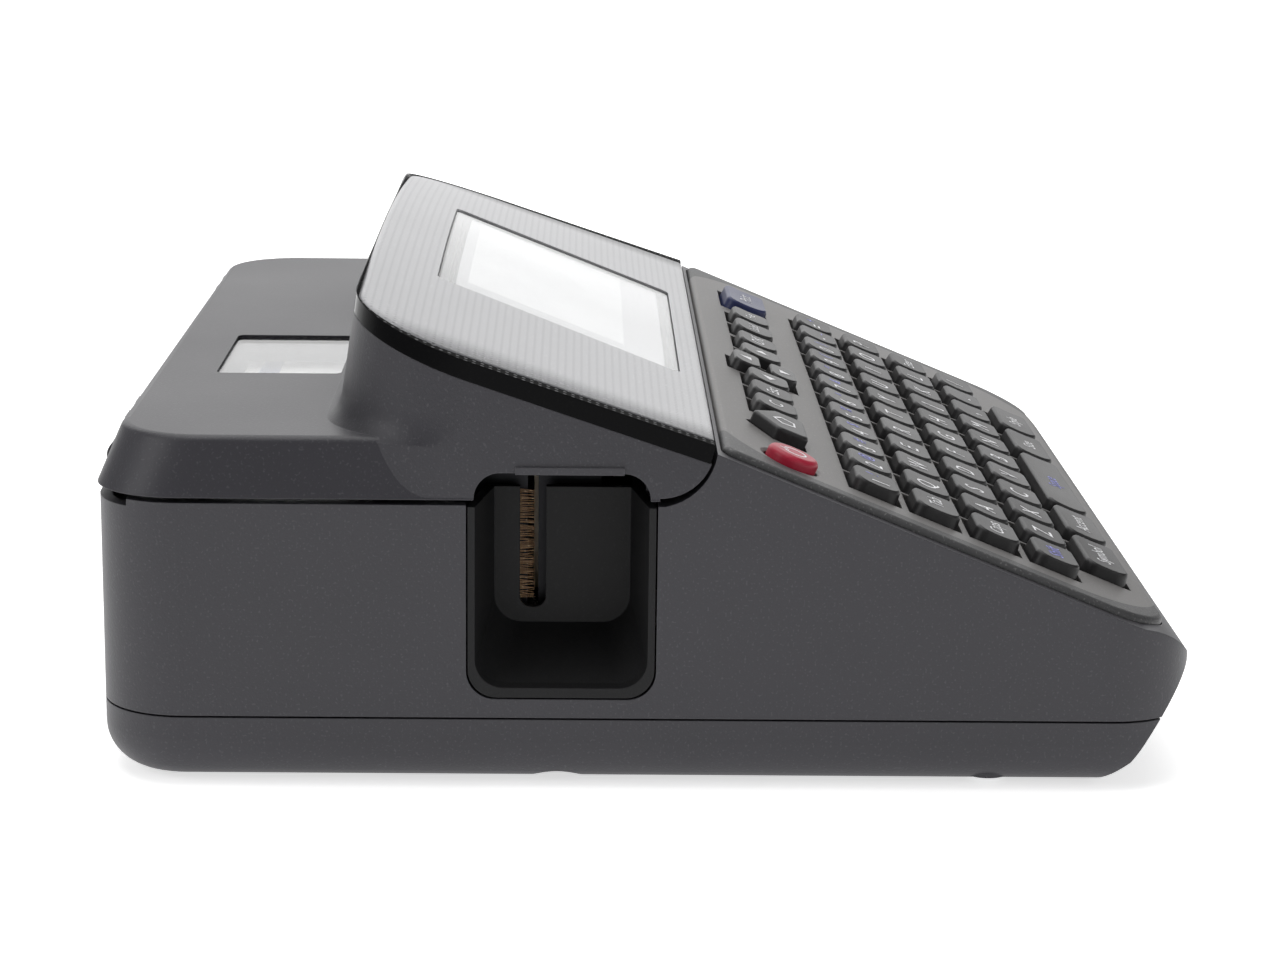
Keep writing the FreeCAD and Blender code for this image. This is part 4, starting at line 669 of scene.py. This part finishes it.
jacket, tree, shader = new_finish("cell jacket", Coat_Weight=0.5, Coat_Roughness=0.1)
place = put(tree, "ShaderNodeTexCoord").outputs["Object"]
lengthways = put(tree, "ShaderNodeSeparateXYZ", {0: place}).outputs["X"]
CELL_START, CELL_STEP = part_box("batteries")[0].x, 51.4 * MM
within = calc(tree, "MODULO", calc(tree, "SUBTRACT", lengthways, CELL_START), CELL_STEP)
band = ramp(tree, within, 33.9 * MM, 34.1 * MM)
skin(tree, shader, Colour=blend_tints(tree, band, colour(34, 37, 44), colour(190, 146, 70)),
     Fleck_Colour=colour(120, 120, 120), Flecks=0.08, Grain_Size=0.002, Grain_Depth=0.06, Roughness=0.24)
dress(jacket, "batteries")

plated = metal("contact plate", colour(210, 210, 206), 0.2, 0.1)
dress(plated, "battery_contacts")
low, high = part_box("battery_contacts")
SPRING_TURNS = [(0.75 * MM, 3.7 * MM), (1.15 * MM, 3.0 * MM), (1.55 * MM, 2.3 * MM)]
turns = []
for line in range(3):
    across, level = low.y + (5.0 + 15.0 * line) * MM, (low.z + high.z) / 2 + 1.75 * MM
    for start, inward in ((low.x, 1), (high.x, -1)):
        for reach, size in SPRING_TURNS:
            bpy.ops.object.select_all(action="DESELECT")
            bpy.ops.mesh.primitive_torus_add(
                location=(start + inward * reach, across, level), rotation=(0, math.radians(90), 0),
                major_segments=24, minor_segments=6, major_radius=size, minor_radius=0.22 * MM)
            bpy.ops.object.transform_apply()
            bpy.context.object.data.materials.append(plated)
            turns.append(bpy.context.object)
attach(joined(turns, "contact_springs"), "case")

# ---------------------------------------------------------------- underside
# Four round rubber feet stand in shallow seats. A blank silver rating plate with a ruled table is stuck in
# the free field of the bottom.

dress(plain_skin("foot rubber", colour(24, 24, 25), colour(64, 64, 64), 0.3, 0.0005, 0.6, 0.78), "rubber_feet")

rating, tree, shader = new_finish("rating plate", Metallic=0.6)
place = put(tree, "ShaderNodeTexCoord").outputs["Object"]
parts = put(tree, "ShaderNodeSeparateXYZ", {0: place})
ruled = calc(tree, "MINIMUM", to_nearest(tree, parts.outputs["Y"], 5.0 * MM), to_nearest(tree, parts.outputs["X"], 21.0 * MM))
skin(tree, shader, Colour=blend_tints(tree, ramp(tree, ruled, 0.02, 0.04), colour(60, 60, 62), colour(186, 187, 190)),
     Fleck_Colour=colour(210, 210, 212), Flecks=0.2, Grain_Size=0.0004, Grain_Depth=0.1, Roughness=0.35)
bpy.ops.object.select_all(action="DESELECT")
bpy.ops.mesh.primitive_cube_add(size=1, location=(0, 0, 0))
plate = bpy.context.object
plate.dimensions = (60 * MM, 28 * MM, 0.1 * MM)
bpy.ops.object.transform_apply(location=False, rotation=False, scale=True)
bpy.ops.object.mode_set(mode="EDIT")
bpy.ops.mesh.select_all(action="SELECT")
bpy.ops.mesh.bevel(offset=0.03 * MM, segments=1)
bpy.ops.object.mode_set(mode="OBJECT")
for vertex in plate.data.vertices:
    vertex.co += Vector((6 * MM, -22 * MM, 0.34 * MM))
plate.data.materials.append(rating)
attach(joined([plate], "rating_plate"), "case")

# ---------------------------------------------------------------- table and light
# The machine stands on a plain white table under a large soft light from above, with a white room round it.

bpy.ops.object.select_all(action="DESELECT")
bpy.ops.mesh.primitive_plane_add(size=14, location=(0, 0, 0))
table = bpy.context.object
table.name = "table"
table_white, tree, shader = new_finish("table white", Roughness=0.9, Emission_Color=(1, 1, 1, 1),
                                       Emission_Strength=0.62)
skin(tree, shader, Colour=(0.9, 0.9, 0.9, 1), Fleck_Colour=(0.95, 0.95, 0.95, 1), Flecks=0.1, Grain_Size=0.002,
     Grain_Depth=0.02, Roughness=0.9)
table.data.materials.append(table_white)


def lamp(name, place, aim, size, power):
    """A square soft light that faces its aim."""
    bpy.ops.object.light_add(type="AREA", location=place)
    light = bpy.context.object
    light.name = name
    light.data.size = size
    light.data.energy = power
    light.visible_camera = False
    light.rotation_euler = (Vector(aim) - Vector(place)).to_track_quat("-Z", "Y").to_euler()


lamp("over light", (0.15, 0.1, 1.3), (0, 0, 0), 1.2, 11)
lamp("far light", (1.8, 0.2, 0.95), (0, 0, 0.05), 2.3, 21)
lamp("side light", (-1.0, -0.9, 0.7), (0, 0, 0.04), 0.8, 2.5)
lamp("rear light", (-0.5, 1.2, 0.8), (0, 0, 0.05), 0.7, 4)

world = bpy.data.worlds.new("white room")
bpy.context.scene.world = world
world.use_nodes = True
background = world.node_tree.nodes["Background"]
background.inputs["Color"].default_value = (1, 1, 1, 1)
seen = put(world.node_tree, "ShaderNodeLightPath").outputs["Is Camera Ray"]
world.node_tree.links.new(ramp(world.node_tree, seen, 0.0, 1.0, 0.24, 1.0), background.inputs["Strength"])
bpy.context.scene.view_settings.view_transform = "Standard"
